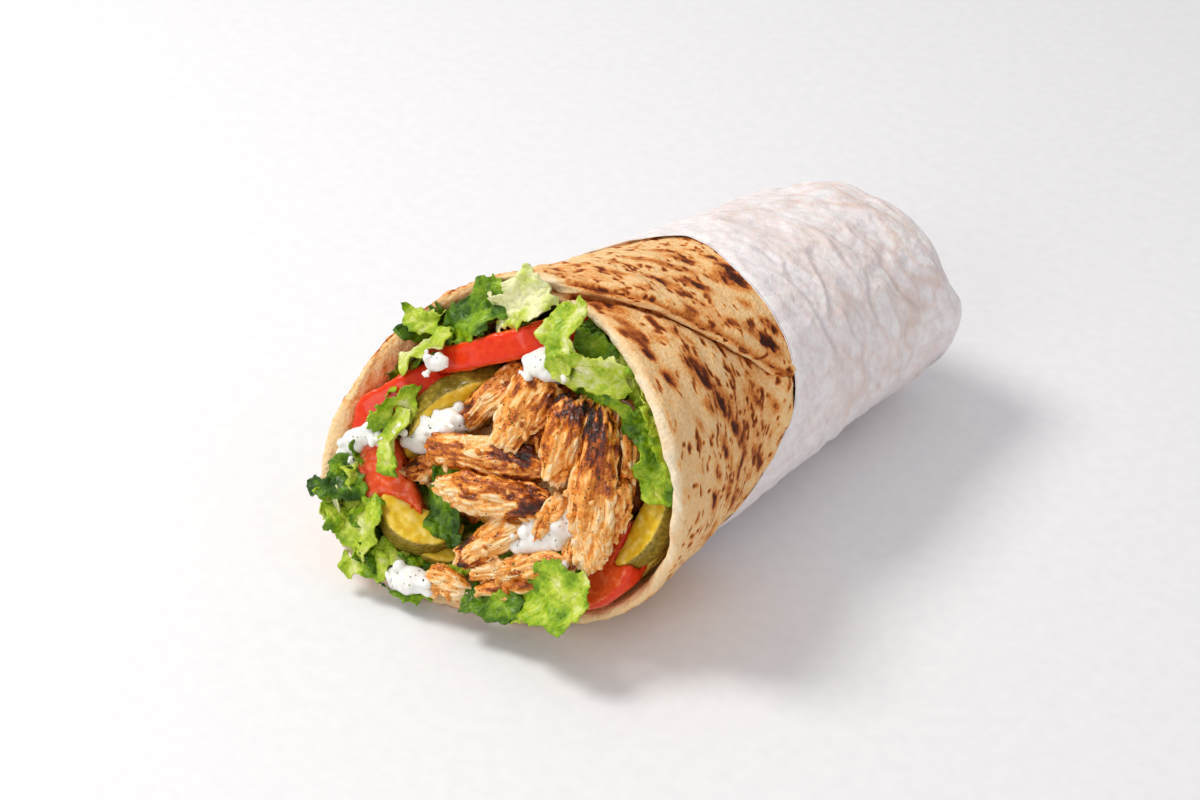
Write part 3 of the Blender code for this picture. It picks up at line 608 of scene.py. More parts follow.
def torn_lettuce(look):
    """Romaine lettuce, torn: crisp, waxy leaf, deep green at its tips and nearly white along the ribs."""
    material, tree, place = new_material("Torn romaine lettuce", {
        "Roughness": 0.34, "IOR": 1.42, "Specular IOR Level": 0.35,
        "Subsurface Weight": 0.25, "Subsurface Scale": 1.2 * MM, "Subsurface Radius": (0.7, 1.0, 0.08),
        "Coat Weight": 0.12, "Coat Roughness": 0.2,
    })
    pale = add(tree, "Attribute", attribute_name="pale").outputs["Fac"]
    # Blisters between the veins are about 2 mm across, and the finest veins are 2.4 mm apart.
    blister = add(tree, "TexNoise", {"Vector": place, "Scale": 1 / (2 * MM), "Detail": 4, "Roughness": 0.6})
    bent = add(tree, "Mix", {0: 0.9 * MM, 6: place, 7: blister.outputs["Color"]}, data_type="RGBA",
               blend_type="LINEAR_LIGHT").outputs[2]
    net = add(tree, "TexVoronoi", {"Vector": bent, "Scale": 1 / (2.4 * MM)}, feature="DISTANCE_TO_EDGE")
    vein = add(tree, "MapRange", {"Value": net, "From Max": 0.14, "To Min": 0.07, "To Max": 0})
    shift = add(tree, "Math", {0: blister, 1: 0.7, 2: -0.38}, operation="MULTIPLY_ADD")
    veined = add(tree, "Math", {0: shift, 1: vein}, operation="ADD")
    level = add(tree, "Math", {0: pale, 1: veined}, operation="ADD", use_clamp=True)
    green = add(tree, "ValToRGB", {"Fac": level}, stops=(
        (0, "#2E5205"), (0.22, "#577F08"), (0.45, look.leaf), (0.68, "#C2D340"), (1, "#F0F1B8"),
    ))
    raised = add(tree, "MapRange", {"Value": net, "From Max": 0.3})
    puffed = add(tree, "Bump", {"Height": raised, "Strength": 0.6, "Distance": 0.5 * MM})
    bump = add(tree, "Bump", {"Height": blister, "Strength": 0.6, "Distance": 0.5 * MM, "Normal": puffed})
    return finished(material, green.outputs["Color"], bump)


def yoghurt_sauce(look):
    """Strained yoghurt sauce with cucumber and dill: thick, white and wet, with green and grey flecks."""
    material, tree, place = new_material("Yoghurt and dill sauce", {
        "Roughness": 0.28, "IOR": 1.36, "Specular IOR Level": 0.5,
        "Subsurface Weight": 0.4, "Subsurface Scale": 2 * MM, "Subsurface Radius": (1.0, 0.9, 0.8),
        "Coat Weight": 0.3, "Coat Roughness": 0.12,
    })
    # Dill flecks are about 0.5 mm, one every 3 mm.
    fleck = add(tree, "TexVoronoi", {"Vector": place, "Scale": 1 / (3 * MM)})
    near = add(tree, "Math", {0: fleck, 1: 0.09}, operation="LESS_THAN")
    cream = add(tree, "TexNoise", {"Vector": place, "Scale": 1 / (2 * MM), "Detail": 3})
    body = add(tree, "ValToRGB", {"Fac": cream}, stops=((0.3, "#EDEBE2"), (0.6, look.sauce)))
    shown = add(tree, "Mix", {0: near, 6: body, 7: "#8F9C68"}, data_type="RGBA")
    bump = add(tree, "Bump", {"Height": cream, "Strength": 0.3, "Distance": 0.4 * MM})
    return finished(material, shown.outputs[2], bump)


def dried_herb(name, dark, light, roughness):
    """Crushed dried herb or ground pepper: matt flakes, each a slightly different shade."""
    material, tree, place = new_material(name, {"Roughness": roughness, "IOR": 1.45})
    # One shade change about every 1.5 mm, so neighbouring flakes differ.
    tone = add(tree, "TexNoise", {"Vector": place, "Scale": 1 / (1.5 * MM)})
    shown = add(tree, "ValToRGB", {"Fac": tone}, stops=((0.35, dark), (0.65, light)))
    return finished(material, shown.outputs["Color"])


def studio_floor(look):
    """Matt painted board, sprayed: a plain pale ground with a faint tooth."""
    material, tree, place = new_material("Sprayed matt board", {"Roughness": 0.6, "IOR": 1.45})
    # The tooth is about 4 mm across.
    tooth = add(tree, "TexNoise", {"Vector": place, "Scale": 1 / (4 * MM), "Detail": 2})
    shown = add(tree, "ValToRGB", {"Fac": tooth}, stops=((0.3, look.floor), (0.7, "#F1F1F3")))
    return finished(material, shown.outputs["Color"])


# Pieces.


def slanted(around, along, slant):
    """Places on the unrolled sheet, measured along and across a streak that slants towards the tail."""
    size = math.hypot(1, slant)
    return np.stack([(around - slant * along) / size, (along + slant * around) / size], -1)


def mark_strength(angle, y, radius, marks, slant):
    """How dark the listed griddle marks are at each point, the darkest one winning."""
    total = np.zeros(len(angle))
    for at, along, half_length, half_width, strength in marks:
        turn = (angle - at + 180) % 360 - 180
        place = slanted(np.radians(turn) * radius / MM, y / MM - along, slant)
        off = np.sum((place / (half_length, half_width)) ** 2, axis=1)
        total = np.maximum(total, strength * np.exp(-0.8 * off))
    return total


def seam_angle(y, behind_rim):
    """Where the flap's free edge lies round the roll: it drifts down the +X side towards the tail."""
    front = y - behind_rim * MM
    share = (y - front) / (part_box("flatbread")[1][1] - front)
    return SEAM_START - SEAM_DRIFT * np.clip(share, 0, SEAM_DRIFT_END)


def room_under_paper(co, radial, behind_paper):
    """How far the bread can swell before it meets the paper, at each point near the paper's front edge."""
    bm = cad_bmesh("paper_sleeve")
    tree = BVHTree.FromBMesh(bm)
    bm.free()
    room = np.zeros(len(co))
    for k in np.nonzero(np.abs(behind_paper) < 9)[0]:
        # What lies in front of the paper's edge looks for the paper 2 mm behind that edge.
        start = Vector(co[k]) + Vector((0, max(2.0 - behind_paper[k], 0) * MM, 0))
        distance = tree.ray_cast(start, Vector(radial[k]), 5 * MM)[3]
        room[k] = 0 if distance is None else max(distance - PAPER_CLEARANCE, 0)
    return room


def scorched(flat, warp, fine, listed, behind_rim, outside):
    """How dark the bread is baked at each place of its unrolled sheet, the listed marks included."""
    # Streaks are about 3.2 mm long and freckles 1.7 mm, and the griddle's heat varies every 16 mm.
    torn = flat + warp + fine
    streaks = fractal(torn / (3.2, 2.3), 11)
    spots = fractal(torn / (1.7, 1.45), 29)
    broad = noise(flat / 16, 8)
    scattered = smooth((streaks + 0.25 * broad - 0.50) / 0.6) * 0.72
    freckles = smooth((spots + 0.2 * broad - 0.50) / 0.42) * 0.74
    uneven = listed * (0.85 + 0.60 * fractal(torn / (2.3, 1.7), 41))
    toasted = 0.08 + smooth((broad + 0.6 * streaks + 0.3) / 1.2) * 0.18 + 0.30 * smooth(listed * 1.6)
    burnt = smooth((uneven - 0.20) / 0.70) * 0.95
    scorch = np.clip(np.maximum.reduce([toasted, scattered, freckles, burnt]), 0, 1)
    inner = 0.4 * scorch
    return (inner + (scorch - inner) * outside) * smooth((behind_rim - 1.0) / 3.5)


def make_bread(look):
    """The rolled flatbread, with its blisters, griddle marks and the free edge of its flap."""
    mesh = fine_sheet("flatbread", look.long_edge)
    co, normals = points_of(mesh), normals_of(mesh)
    angle, radius = round_roll(co)
    y = co[:, 1]
    behind_rim = (y - front_of("flatbread")(angle)) / MM
    behind_paper = (y - front_of("paper_sleeve")(angle)) / MM
    radial = outwards(angle)
    outside = smooth((facing(normals, radial) - 0.1) / 0.5)
    arc = np.radians((angle + 90) % 360) * radius
    flat = slanted(arc / MM, y / MM, STREAK_SLANT)
    warp = drift(flat / 5, 3, 4) * 1.2
    fine = drift(flat / 1.6, 5, 6) * 0.5
    listed = np.maximum(
        mark_strength(angle, y, radius, FLAP_MARKS, FLAP_MARK_SLANT),
        mark_strength(angle, y, radius, SIDE_MARKS, SIDE_MARK_SLANT),
    )
    scorch = scorched(flat, warp, fine, listed, behind_rim, outside)
    # Heights in mm: broad waves, blisters about 9 mm apart, sunk scorch marks and fine dimples.
    bubbles = nearest_cells((flat + warp * 2) / 9.0, 5)[0]
    lumps = 0.45 * noise(flat / 13, 21) + 0.30 * smooth((0.5 - bubbles) / 0.5)
    lumps = lumps - 0.25 * smooth((scorch - 0.5) / 0.4) + 0.20 * fractal((flat + fine) / (3.4, 1.8), 23)
    edge = bell(behind_rim, 4)
    under_paper = smooth((behind_paper - 6) / 8)
    lumps += edge * 0.25 * fractal(co / MM / 2.4, 35)
    past_seam = SEAM_SLANT * np.radians(seam_angle(y, behind_rim) - angle) * radius / MM
    room = room_under_paper(co, radial, behind_paper)
    # The layer below the flap stays down where it passes under the paper.
    room[(room > 2.5 * MM) & (past_seam < -1)] = 0
    swell = room * bell(behind_paper, 4) * outside
    # The flap's lip stands 0.5 mm high beside a groove.
    seam = outside * smooth(behind_rim / 3) * (1 - under_paper) * (np.abs(past_seam) < 6)
    groove = bell(past_seam + 1.1, 0.7) * seam
    lumps += 0.5 * bell(past_seam + 3.0, 1.0) * seam - 0.9 * groove
    co += normals * (lumps * (1 - under_paper) * look.relief)[:, None]
    co += radial * (swell - BREAD_SINK * under_paper)[:, None]
    co[:, 1] += edge * 0.8 * MM * round_noise(arc, 5, 33)
    set_points(mesh, co)
    # Painted shadow: the groove beside the flap's lip is darkened as the lip's shadow, on top of the scorch
    # marks.
    scorch = np.clip(scorch + 0.34 * groove, 0, 1)
    paint(mesh, scorch=scorch, pale=1 - smooth((behind_rim + 0.6 * noise(co / MM / 2.5, 36)) / 2.0))
    mesh = thinned(mesh, 0.52, (behind_paper > 4) | ((outside < 0.5) & (behind_rim > 30)))
    return show("bread", mesh, baked_flatbread(look), "flatbread", "flatbread")


def fold_height(angle, y, radius):
    """The relief of the listed folds, each a ridge beside a trough, and how near each point is to a fold's
    trough, for painted shade.
    """
    height = np.zeros(len(angle))
    near = np.zeros(len(angle))
    around = np.radians(angle) * radius / MM
    for first, y0, last, y1, depth, width in PAPER_FOLDS:
        start = np.stack([np.radians(first) * radius / MM, np.full(len(angle), y0, float)], -1)
        end = np.stack([np.radians(last) * radius / MM, np.full(len(angle), y1, float)], -1)
        run = end - start
        length = np.linalg.norm(run, axis=1)
        offset = np.stack([around, y / MM], -1) - start
        share = np.einsum("ij,ij->i", offset, run) / length**2
        side = (offset[:, 0] * run[:, 1] - offset[:, 1] * run[:, 0]) / length
        side = side + 1.2 * np.sin(share * 7 + first)
        fade = smooth(share / 0.15) * smooth((1 - share) / 0.25)
        ridge = np.exp(-np.abs(side) / width * 2.6) - 0.7 * np.exp(-np.abs(side - 0.6 * width) / width * 2.8)
        height += depth * fade * ridge
        # Nearness to the trough, painted on the paper as shade.
        near = np.maximum(near, fade * bell(side - 0.5 * width, 0.3 * width))
    return height, near


def crumpled(flat, co):
    """The height in mm of hand-crumpled paper, and where it lies against the food."""
    # The creases run aslant, in cells 15 mm by 7 mm, on flatter planes 19 mm by 12 mm.
    turn = np.array([[0.94, 0.34], [-0.34, 0.94]])
    warp = drift(flat / 7, 3, 4) * 3.0
    oblique = (flat + warp) @ turn
    first, second = nearest_cells(oblique / (15.0, 7.0), 9)
    third = nearest_cells((co / MM + 5) / 6.0, 19)[0]
    long_creases = 1 - np.abs(noise(oblique / (11.0, 4.2), 61)) * 2
    short_creases = 1 - np.abs(noise((co / MM) / 4.2, 62)) * 2
    planes = nearest_cells((flat + 0.5 * warp) @ turn / (19.0, 12.0), 77)[0]
    crinkle = first + 0.6 * third + 1.9 * (planes - 0.4) + 0.16 * long_creases + 0.16 * short_creases
    touching = smooth((0.35 - (second - first)) / 0.35) * smooth((noise(flat / 17, 51) + 0.25) / 0.6)
    return crinkle - 0.85, touching


def make_sleeve(look):
    """The paper sleeve, crumpled all over, with listed folds, an ear at its tail and a soft front edge."""
    mesh = fine_sheet("paper_sleeve", look.long_edge)
    co, normals = points_of(mesh), normals_of(mesh)
    angle, radius = round_roll(co)
    y = co[:, 1]
    arc = np.radians(angle) * radius
    flat = np.stack([arc, y], -1) / MM
    behind = (y - front_of("paper_sleeve")(angle)) / MM
    crinkle, touching = crumpled(flat, co)
    folds, near = fold_height(angle, y, np.minimum(radius, FOLD_RADIUS))
    tail = smooth((y / MM - 35) / 35)
    amount = smooth((behind - 1) / 9) * (0.62 + 0.45 * tail)
    ear = 3.0 * bell(angle - 97, 12) - 1.6 * bell(angle - 68, 12)
    height = amount * crinkle + smooth(behind / 5) * 0.7 * folds + ear * smooth((y / MM - 60) / 17)
    front = bell(behind, 2.5) * (0.25 * round_noise(arc, 11, 7) - 0.45)
    radial = outwards(angle)
    off_table = smooth(co[:, 2] / (3 * MM))
    outside = facing(normals, radial)
    outward = normals * np.sign(outside + 1e-6)[:, None]
    capped = np.where(y[:, None] > PAPER_CAP_Y, np.array([0, 1.0, 0]), radial)
    co += (0.5 * outward + 0.5 * capped) * ((height + front) * look.relief * off_table)[:, None]
    set_points(mesh, co)
    clear = 0.42 * touching * amount * (1 - 0.8 * smooth((y / MM - 72) / 6))
    clear += 0.14 * smooth(noise(flat / 11, 52) * 1.6) * smooth(behind / 12)
    # The folds' troughs get painted shade.
    paint(mesh, clear=np.clip(clear, 0, 1), fold=np.clip(near * 0.22, 0, 1))
    mesh = thinned(mesh, 0.62, (outside < -0.2) & (behind > 3))
    return show("sleeve", mesh, greaseproof_paper(look), "paper", "paper_sleeve")


def make_strip(index, look, material):
    """A strip of chicken: bundles of fibres run along it, its ends are frayed and its crust is uneven."""
    node = f"chicken_strip_{index:02}"
    mesh, co, normals = refined(node, cad_bmesh(node), look.strip_grain, 8)
    middle, axes = main_axes(co)
    if axes[:, 0] @ MOUTH_AXES[:, 1] < 0:
        axes[:, :2] *= -1
    local = (co - middle) @ axes / MM
    share = local[:, 0] / np.abs(local[:, 0]).max()
    sear_start, sear_end, dark_at, dark = STRIP_LOOKS[index - 1]
    shape = local + 40.0 * index
    bent = shape + drift(shape / 6, 0, 1, 2) * (0, 1.2, 1.2)
    # Bundles of fibres are 2.3 mm thick, and their threads 0.85 mm.
    bundle = inside_cells(bent / (11, 2.3, 2.3), 5, 0.38)
    thread = inside_cells(bent / (9, 0.85, 0.85), 6, 0.5)
    lumpy = fractal(shape / 2.6, 7)
    slabs = noise(shape / (9, 4.0, 4.0), 9)
    patch = fractal(bent / (6.0, 2.2, 2.2), 8)
    spice = fractal(shape / (2.0, 0.9, 0.9), 18)
    level = sear_start + (sear_end - sear_start) * smooth((share + 1) / 2)
    # Each strip is browned more on one side of its own, and on what looks up and out of the mouth.
    side = 2 * math.pi * float(hashed(np.array([[index, 3]]), 4)[0])
    turned = normals @ (axes[:, 1] * math.cos(side) + axes[:, 2] * math.sin(side))
    upper = normals @ (MOUTH_AXES @ np.array([0.0, 0.8, 0.6]))
    crust = smooth((1.1 * level + 0.2 * turned + 0.2 * upper + 0.34 * patch - 0.40) / 0.20)
    torn = 0.60 * bundle + 0.42 * thread
    baked = 0.45 * bundle + 0.22 * lumpy + 0.16 * thread
    height = torn + (baked - torn) * crust + 0.9 * slabs - 0.25
    frayed = smooth((np.abs(share) - 0.6) / 0.4) * np.sign(share)
    # Each thread keeps its own length along the strip, so the ends fray by up to about 2 mm.
    section = local * (0, 1, 1)
    ends = noise(section / 1.5 + 9.0 * index, 12) + 0.5 * noise(section / 0.7, 13)
    lengthwise = np.outer(frayed * (1.6 * ends + 0.4), axes[:, 0]) * MM
    co = co + normals * (height * look.chicken_relief)[:, None] + lengthwise
    set_points(mesh, co)
    burnt = dark * bell((share + 1) / 2 - dark_at, 0.24)
    # Painted shade: the torn faces are darker in the grooves between threads and between bundles.
    pale = 0.04 + 0.20 * (1 - thread) + 0.10 * (1 - bundle) + 0.06 * patch
    brown = 0.25 + 0.38 * level + 0.20 * patch + 0.04 * lumpy + 0.14 * spice
    sear = pale + (brown - pale) * crust + 0.50 * burnt * smooth((patch + 0.5 * spice + 0.5) / 0.8)
    paint(mesh, sear=np.clip(sear, 0, 1), along=(co - middle) @ axes)
    mesh = thinned(mesh, 0.70, normals @ OUT_OF_MOUTH < -0.1)
    return show(f"strip_{index:02}", mesh, material, "grilled_chicken", node)


def skin_of(co, normals, towards):
    """Where a slice shows its skin: where its surface looks outwards on its own disc."""
    outward = MOUTH_AXES @ np.array(towards, float)
    outward /= np.linalg.norm(outward)
    flat_by = np.abs(normals @ main_axes(co)[1][:, 2])
    return smooth((normals @ outward - 0.4) / 0.15) * smooth((0.8 - flat_by) / 0.2)


def make_slice(node, name, towards, look, material, slot, relief):
    """A slice of tomato or pickle: rippled wet flesh inside a smoother skin."""
    mesh, co, normals = refined(node, cad_bmesh(node), look.grain, 14)
    skin = skin_of(co, normals, towards)
    shape = co / MM
    ripple = relief * fractal(shape / 2.4, 3) * (1 - 0.7 * skin) + 0.5 * relief * noise(shape / 5, 4)
    set_points(mesh, co + normals * ((ripple + 0.35) * MM)[:, None])
    paint(mesh, skin=skin)
    mesh = thinned(mesh, 0.58, normals @ OUT_OF_MOUTH < 0.0)
    return show(name, mesh, material, slot, node)


def leaf_heights(node, step):
    """The middle surface of a leaf solid, read on a square grid in the leaf's own axes."""
    bm = cad_bmesh(node)
    centres = np.array([face.calc_center_median() for face in bm.faces])
    areas = np.array([face.calc_area() for face in bm.faces])
    middle = np.average(centres, axis=0, weights=areas)
    axes = np.linalg.eigh(np.cov((centres - middle).T, aweights=areas))[1][:, ::-1]
    if axes[:, 2] @ OUT_OF_MOUTH < 0:
        axes[:, 2] *= -1
    axes[:, 1] = np.cross(axes[:, 2], axes[:, 0])
    corners = (np.array([v.co for v in bm.verts]) - middle) @ axes
    margin = (GROWN_CELLS + 2) * step
    low, high = corners.min(0) - margin, corners.max(0) + margin
    tree = BVHTree.FromBMesh(bm)
    bm.free()
    across = np.arange(low[0], high[0], step)
    up = np.arange(low[1], high[1], step)
    heights = np.full((len(across), len(up)), np.nan)
    down = Vector(-axes[:, 2])
    for (i, a), (j, b) in itertools.product(enumerate(across), enumerate(up)):
        hit = tree.ray_cast(Vector(middle + axes @ np.array([a, b, high[2]])), down)[0]
        if hit is None:
            continue
        heights[i, j] = (np.array(hit) - middle) @ axes[:, 2]
        # The middle lies half the leaf's thickness down, which is at most about 1.6 mm.
        below = tree.ray_cast(hit + down * step * 0.1, down)[0]
        if below is not None:
            heights[i, j] -= min((hit - below).length, 1.6 * MM) / 2
    return middle, axes, across, up, heights


def neighbours(grid, fill):
    """Each cell's four neighbours, as four grids."""
    padded = np.pad(grid, 1, constant_values=fill)
    return padded[2:, 1:-1], padded[:-2, 1:-1], padded[1:-1, 2:], padded[1:-1, :-2]


def edge_distance(known):
    """How many cells each cell lies inside a sheet's edge, and below 0 outside it."""
    inside, outside = known.copy(), ~known
    depth = np.where(known, 0.5, -0.5)
    for _ in range(GROWN_CELLS + 6):
        inside = np.logical_and.reduce((inside, *neighbours(inside, False)))
        outside = np.logical_and.reduce((outside, *neighbours(outside, True)))
        depth += inside
        depth -= outside
    return depth


def filled(heights):
    """The grid with its empty cells filled outwards from their neighbours, then evened out."""
    weight = (~np.isnan(heights)).astype(float)
    values = np.where(weight > 0, heights, 0.0)
    for _ in range(GROWN_CELLS + 4):
        total = sum(neighbours(values * weight, 0.0))
        count = sum(neighbours(weight, 0.0))
        grown = (weight == 0) & (count > 0)
        values[grown] = (total / np.maximum(count, 1))[grown]
        weight[grown] = 1.0
    for _ in range(4):
        count = sum(neighbours(weight, 0.0)) + 1
        values = (sum(neighbours(values * weight, 0.0)) + values) / np.maximum(count, 1)
    return values


def leaf_surface(flat, seeded, depth, half, paleness, rib_strength):
    """Lift, sideways shift and paleness of a leaf, from its places and their distance to its edge in mm."""
    across = flat[..., 1]
    edge = smooth(1 - depth / 2.6)
    rib = bell(across + 0.8 * noise(seeded / 6, 4), 0.08 * half + 0.35) * rib_strength
    slope = flat[..., 0] * 0.75 - np.abs(across) + 0.8 * noise(seeded / 3, 5)
    vein = bell((slope / 3.8) % 1.0 - 0.5, 0.10) * (0.3 + 0.7 * rib_strength)
    puff = inside_cells((seeded + 1.2 * drift(seeded / 2.2, 6, 16)) / (3.6, 2.4), 7, 0.55)
    frill = noise(seeded / 2.4, 8) * 1.1 + noise(seeded / 4.4, 9) * 1.3
    lift = 0.45 * rib + 0.16 * vein + 0.42 * puff + edge * frill
    lift = lift + 0.6 * noise(seeded / 4.5, 10) + 0.15 * noise(seeded / 1.4, 14)
    sideways = edge * noise(seeded / 2.6, 11) * 0.9
    pale = paleness + 0.4 * rib + 0.12 * vein * (1 - edge) + 0.06 * (1 - puff) - 0.06 * edge
    return lift, sideways, np.clip(pale + 0.26 * noise(seeded / 4, 12), 0, 1)


def add_sheet(bm, places, keep, pale):
    """Adds the kept cells of a grid of places as one sheet with a soft rim."""
    layer = bm.verts.layers.float.get("pale") or bm.verts.layers.float.new("pale")
    verts = {}
    for key in zip(*np.nonzero(keep)):
        verts[key] = bm.verts.new(places[key])
        verts[key][layer] = pale[key]
    for i, j in list(verts):
        ring = [verts.get(key) for key in ((i, j), (i + 1, j), (i + 1, j + 1), (i, j + 1))]
        if None not in ring:
            bm.faces.new(ring)
    loose = [vert for vert in verts.values() if not vert.link_faces]
    kept = [vert for vert in verts.values() if vert.link_faces]
    bmesh.ops.delete(bm, geom=loose, context="VERTS")
    for _ in range(3):
        rim = [vert for vert in kept if vert.is_boundary]
        bmesh.ops.smooth_vert(bm, verts=rim, factor=0.5, use_axis_x=True, use_axis_y=True, use_axis_z=True)


def keep_inside_bread(bm):
    """Moves the points of a sheet that come within 0.4 mm of the bread's wall to 0.5 mm inside it."""
    bread = cad_bmesh("flatbread")
    tree = BVHTree.FromBMesh(bread)
    bread.free()
    for vert in bm.verts:
        middle = Vector((0, vert.co.y, middle_height(vert.co.y)))
        reach = (vert.co - middle).length
        hit = tree.ray_cast(middle, vert.co - middle, reach + 0.4 * MM)
        if hit[0] is not None:
            vert.co = hit[0] + (middle - hit[0]).normalized() * 0.5 * MM


def make_leaf(index, look, material):
    """A torn leaf: a thin sheet on its solid's middle surface, with ribs, blisters and a frilled edge."""
    node = f"lettuce_leaf_{index:02}"
    middle, axes, across, up, heights = leaf_heights(node, look.leaf_step)
    depth = edge_distance(~np.isnan(heights)) * look.leaf_step / MM
    flat = np.stack(np.meshgrid(across, up, indexing="ij"), -1) / MM
    seeded = flat + 23.0 * index
    ragged = noise(seeded / 3.2, 2) * 1.5 + noise(seeded / 1.2, 3) * 0.7
    half = np.abs(up).max() / MM
    paleness, rib_strength, growth = LEAF_LOOKS[index - 1]
    keep = depth + ragged > -growth
    lift, sideways, pale = leaf_surface(flat, seeded, depth + growth, half, paleness, rib_strength)
    height = filled(heights) + lift * look.leaf_relief
    offsets = np.stack([flat[..., 0] * MM, (flat[..., 1] + sideways) * MM, height], -1)
    bm = bmesh.new()
    add_sheet(bm, middle + offsets @ axes.T, keep, pale)
    keep_inside_bread(bm)
    mesh = modified(as_mesh(node, bm), "SOLIDIFY", thickness=look.leaf_thickness, offset=0.0)
    return show(f"leaf_{index:02}", mesh, material, "lettuce", node)


def make_shreds(look, material):
    """Smaller torn leaves tucked in all round the mouth, just inside the bread."""
    angle, radius = round_roll(points_of(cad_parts["lettuce_layer"].data))
    reach = front_of("flatbread")
    draw = np.random.default_rng(12)
    bm = bmesh.new()
    for k, (first, behind, inward, long, wide, paleness) in enumerate(SHREDS):
        around = math.radians(first)
        near = radius[np.abs((angle - first + 180) % 360 - 180) < 12]
        wall = near.max() - inward * MM
        y = reach(first) + behind * MM
        out = np.array([math.sin(around) * SECTION_RATIO, 0, -math.cos(around)])
        root = np.array([0, y + long * MM, middle_height(y)]) + out * wall
        tip = np.array([0, y, middle_height(y)]) + out * (wall - draw.uniform(0, 2) * MM)
        tip += np.cross(out, [0, 1.0, 0]) * draw.uniform(-0.5, 0.5) * long * MM
        along = (root - tip) / np.linalg.norm(root - tip)
        side = np.cross(along, out)
        side /= np.linalg.norm(side)
        face = np.cross(along, side)
        a = np.arange(-long / 2, long / 2, look.leaf_step / MM)
        b = np.arange(-wide / 2, wide / 2, look.leaf_step / MM)
        flat = np.stack(np.meshgrid(a, b, indexing="ij"), -1)
        depth = np.minimum(long / 2 - np.abs(flat[..., 0]), wide / 2 - np.abs(flat[..., 1]))
        seeded = flat + 31.0 * k
        keep = depth + noise(seeded / 3.0, 2) * 1.4 + noise(seeded / 1.2, 3) * 0.6 > 0.6
        lift, sideways, pale = leaf_surface(flat, seeded, depth, wide / 2, paleness, 0.1)
        lift = 1.3 * lift + (flat[..., 1] / wide) ** 2 * draw.uniform(-6, 6)
        places = (root + tip) / 2 + MM * (
            flat[..., :1] * along + (flat[..., 1] + sideways)[..., None] * side + lift[..., None] * face
        )
        add_sheet(bm, places, keep, pale)
    keep_inside_bread(bm)
    mesh = modified(as_mesh("lettuce_shreds", bm), "SOLIDIFY", thickness=look.leaf_thickness, offset=0.0)
    return show("lettuce_shreds", mesh, material, "lettuce")


def make_dollop(index, look, material):
    """Thick sauce: its solid with small lobes and runs round its edge."""
    node = f"sauce_dollop_{index}"
    bm = cad_bmesh(node)
    middle = sum((v.co for v in bm.verts), Vector()) / len(bm.verts)
    draw = np.random.default_rng(40 + index)
    lobes = [v.co.copy() for v in bm.verts]
    for k in draw.choice(len(lobes), min(16, len(lobes)), replace=False):
        out = (lobes[k] - middle).normalized()
        place = lobes[k] + out * draw.uniform(-0.8, 0.9) * MM
        size = draw.uniform(0.5, 1.5) * MM
        bmesh.ops.create_icosphere(bm, subdivisions=1, radius=size, matrix=Matrix.Translation(place))
    mesh, co, normals = refined(node, bm, look.grain, 12)
    height = 0.4 * fractal(co / MM / 3.4, index) + SAUCE_SWELL[index - 1]
    set_points(mesh, co + normals * (height * MM)[:, None])
    return show(f"sauce_{index}", mesh, material, "sauce", node)


def front_limit(co):
    """Where the front of what lies inside the roll ends, at each point's angle."""
    return front_of("flatbread")(round_roll(co)[0]) + FILLING_SETBACK


def make_core(node, name, look, material, slot, mask):
    """What fills the roll behind its mouth: coarse shreds, seen only between the pieces in front."""
    mesh, co, normals = refined(node, cad_bmesh(node), look.core_grain, 2)
    shape = co / MM
    shreds = inside_cells(shape / (4.5, 7.0, 3.0), 3, 0.6)
    height = 1.1 * shreds + 0.5 * fractal(shape / 2.5, 4) - 0.9
    forward = smooth((front_limit(co) + 6 * MM - co[:, 1]) / (4 * MM))
    set_points(mesh, co + normals * (height * forward * MM)[:, None])
    # Its fibres run along the roll.
    paint(mesh, **{mask: np.clip(0.4 + 0.35 * noise(shape / 4, 5), 0, 1)}, along=co[:, [1, 0, 2]])
    mesh = thinned(mesh, 0.5, forward < 0.1)
    return show(name, mesh, material, slot, node)


def strew(name, pieces, count, size, seed, material, slot, accept):
    """Small flakes strewn over the front of some pieces, joined in one mesh."""
    draw = np.random.default_rng(seed)
    bm = bmesh.new()
    for piece in pieces:
        mesh = piece.data
        co, normals = points_of(mesh), normals_of(mesh)
        weight = np.clip(normals @ (0.7 * OUT_OF_MOUTH + (0, 0, 0.5)), 0, None) * accept(mesh)
        if weight.sum() <= 0:
            continue
        share = max(1, round(count * len(co) / sum(len(p.data.vertices) for p in pieces)))
        for k in draw.choice(len(co), share, p=weight / weight.sum()):
            length = draw.uniform(0.5, 1.0) * size
            flake = bmesh.ops.create_icosphere(bm, subdivisions=1, radius=length / 2)["verts"]
            turn = Vector(normals[k]).to_track_quat("Z", "Y").to_matrix()
            turn = turn @ Matrix.Rotation(draw.uniform(0, 6.28), 3, "Z")
            squash = (1.0, draw.uniform(0.35, 0.8), draw.uniform(0.2, 0.4))
            for vert in flake:
                local = Vector(c * s for c, s in zip(vert.co, squash))
                vert.co = Vector(co[k] + normals[k] * FLAKE_LIFT) + turn @ local
    return show(name, as_mesh(name, bm), material, slot)


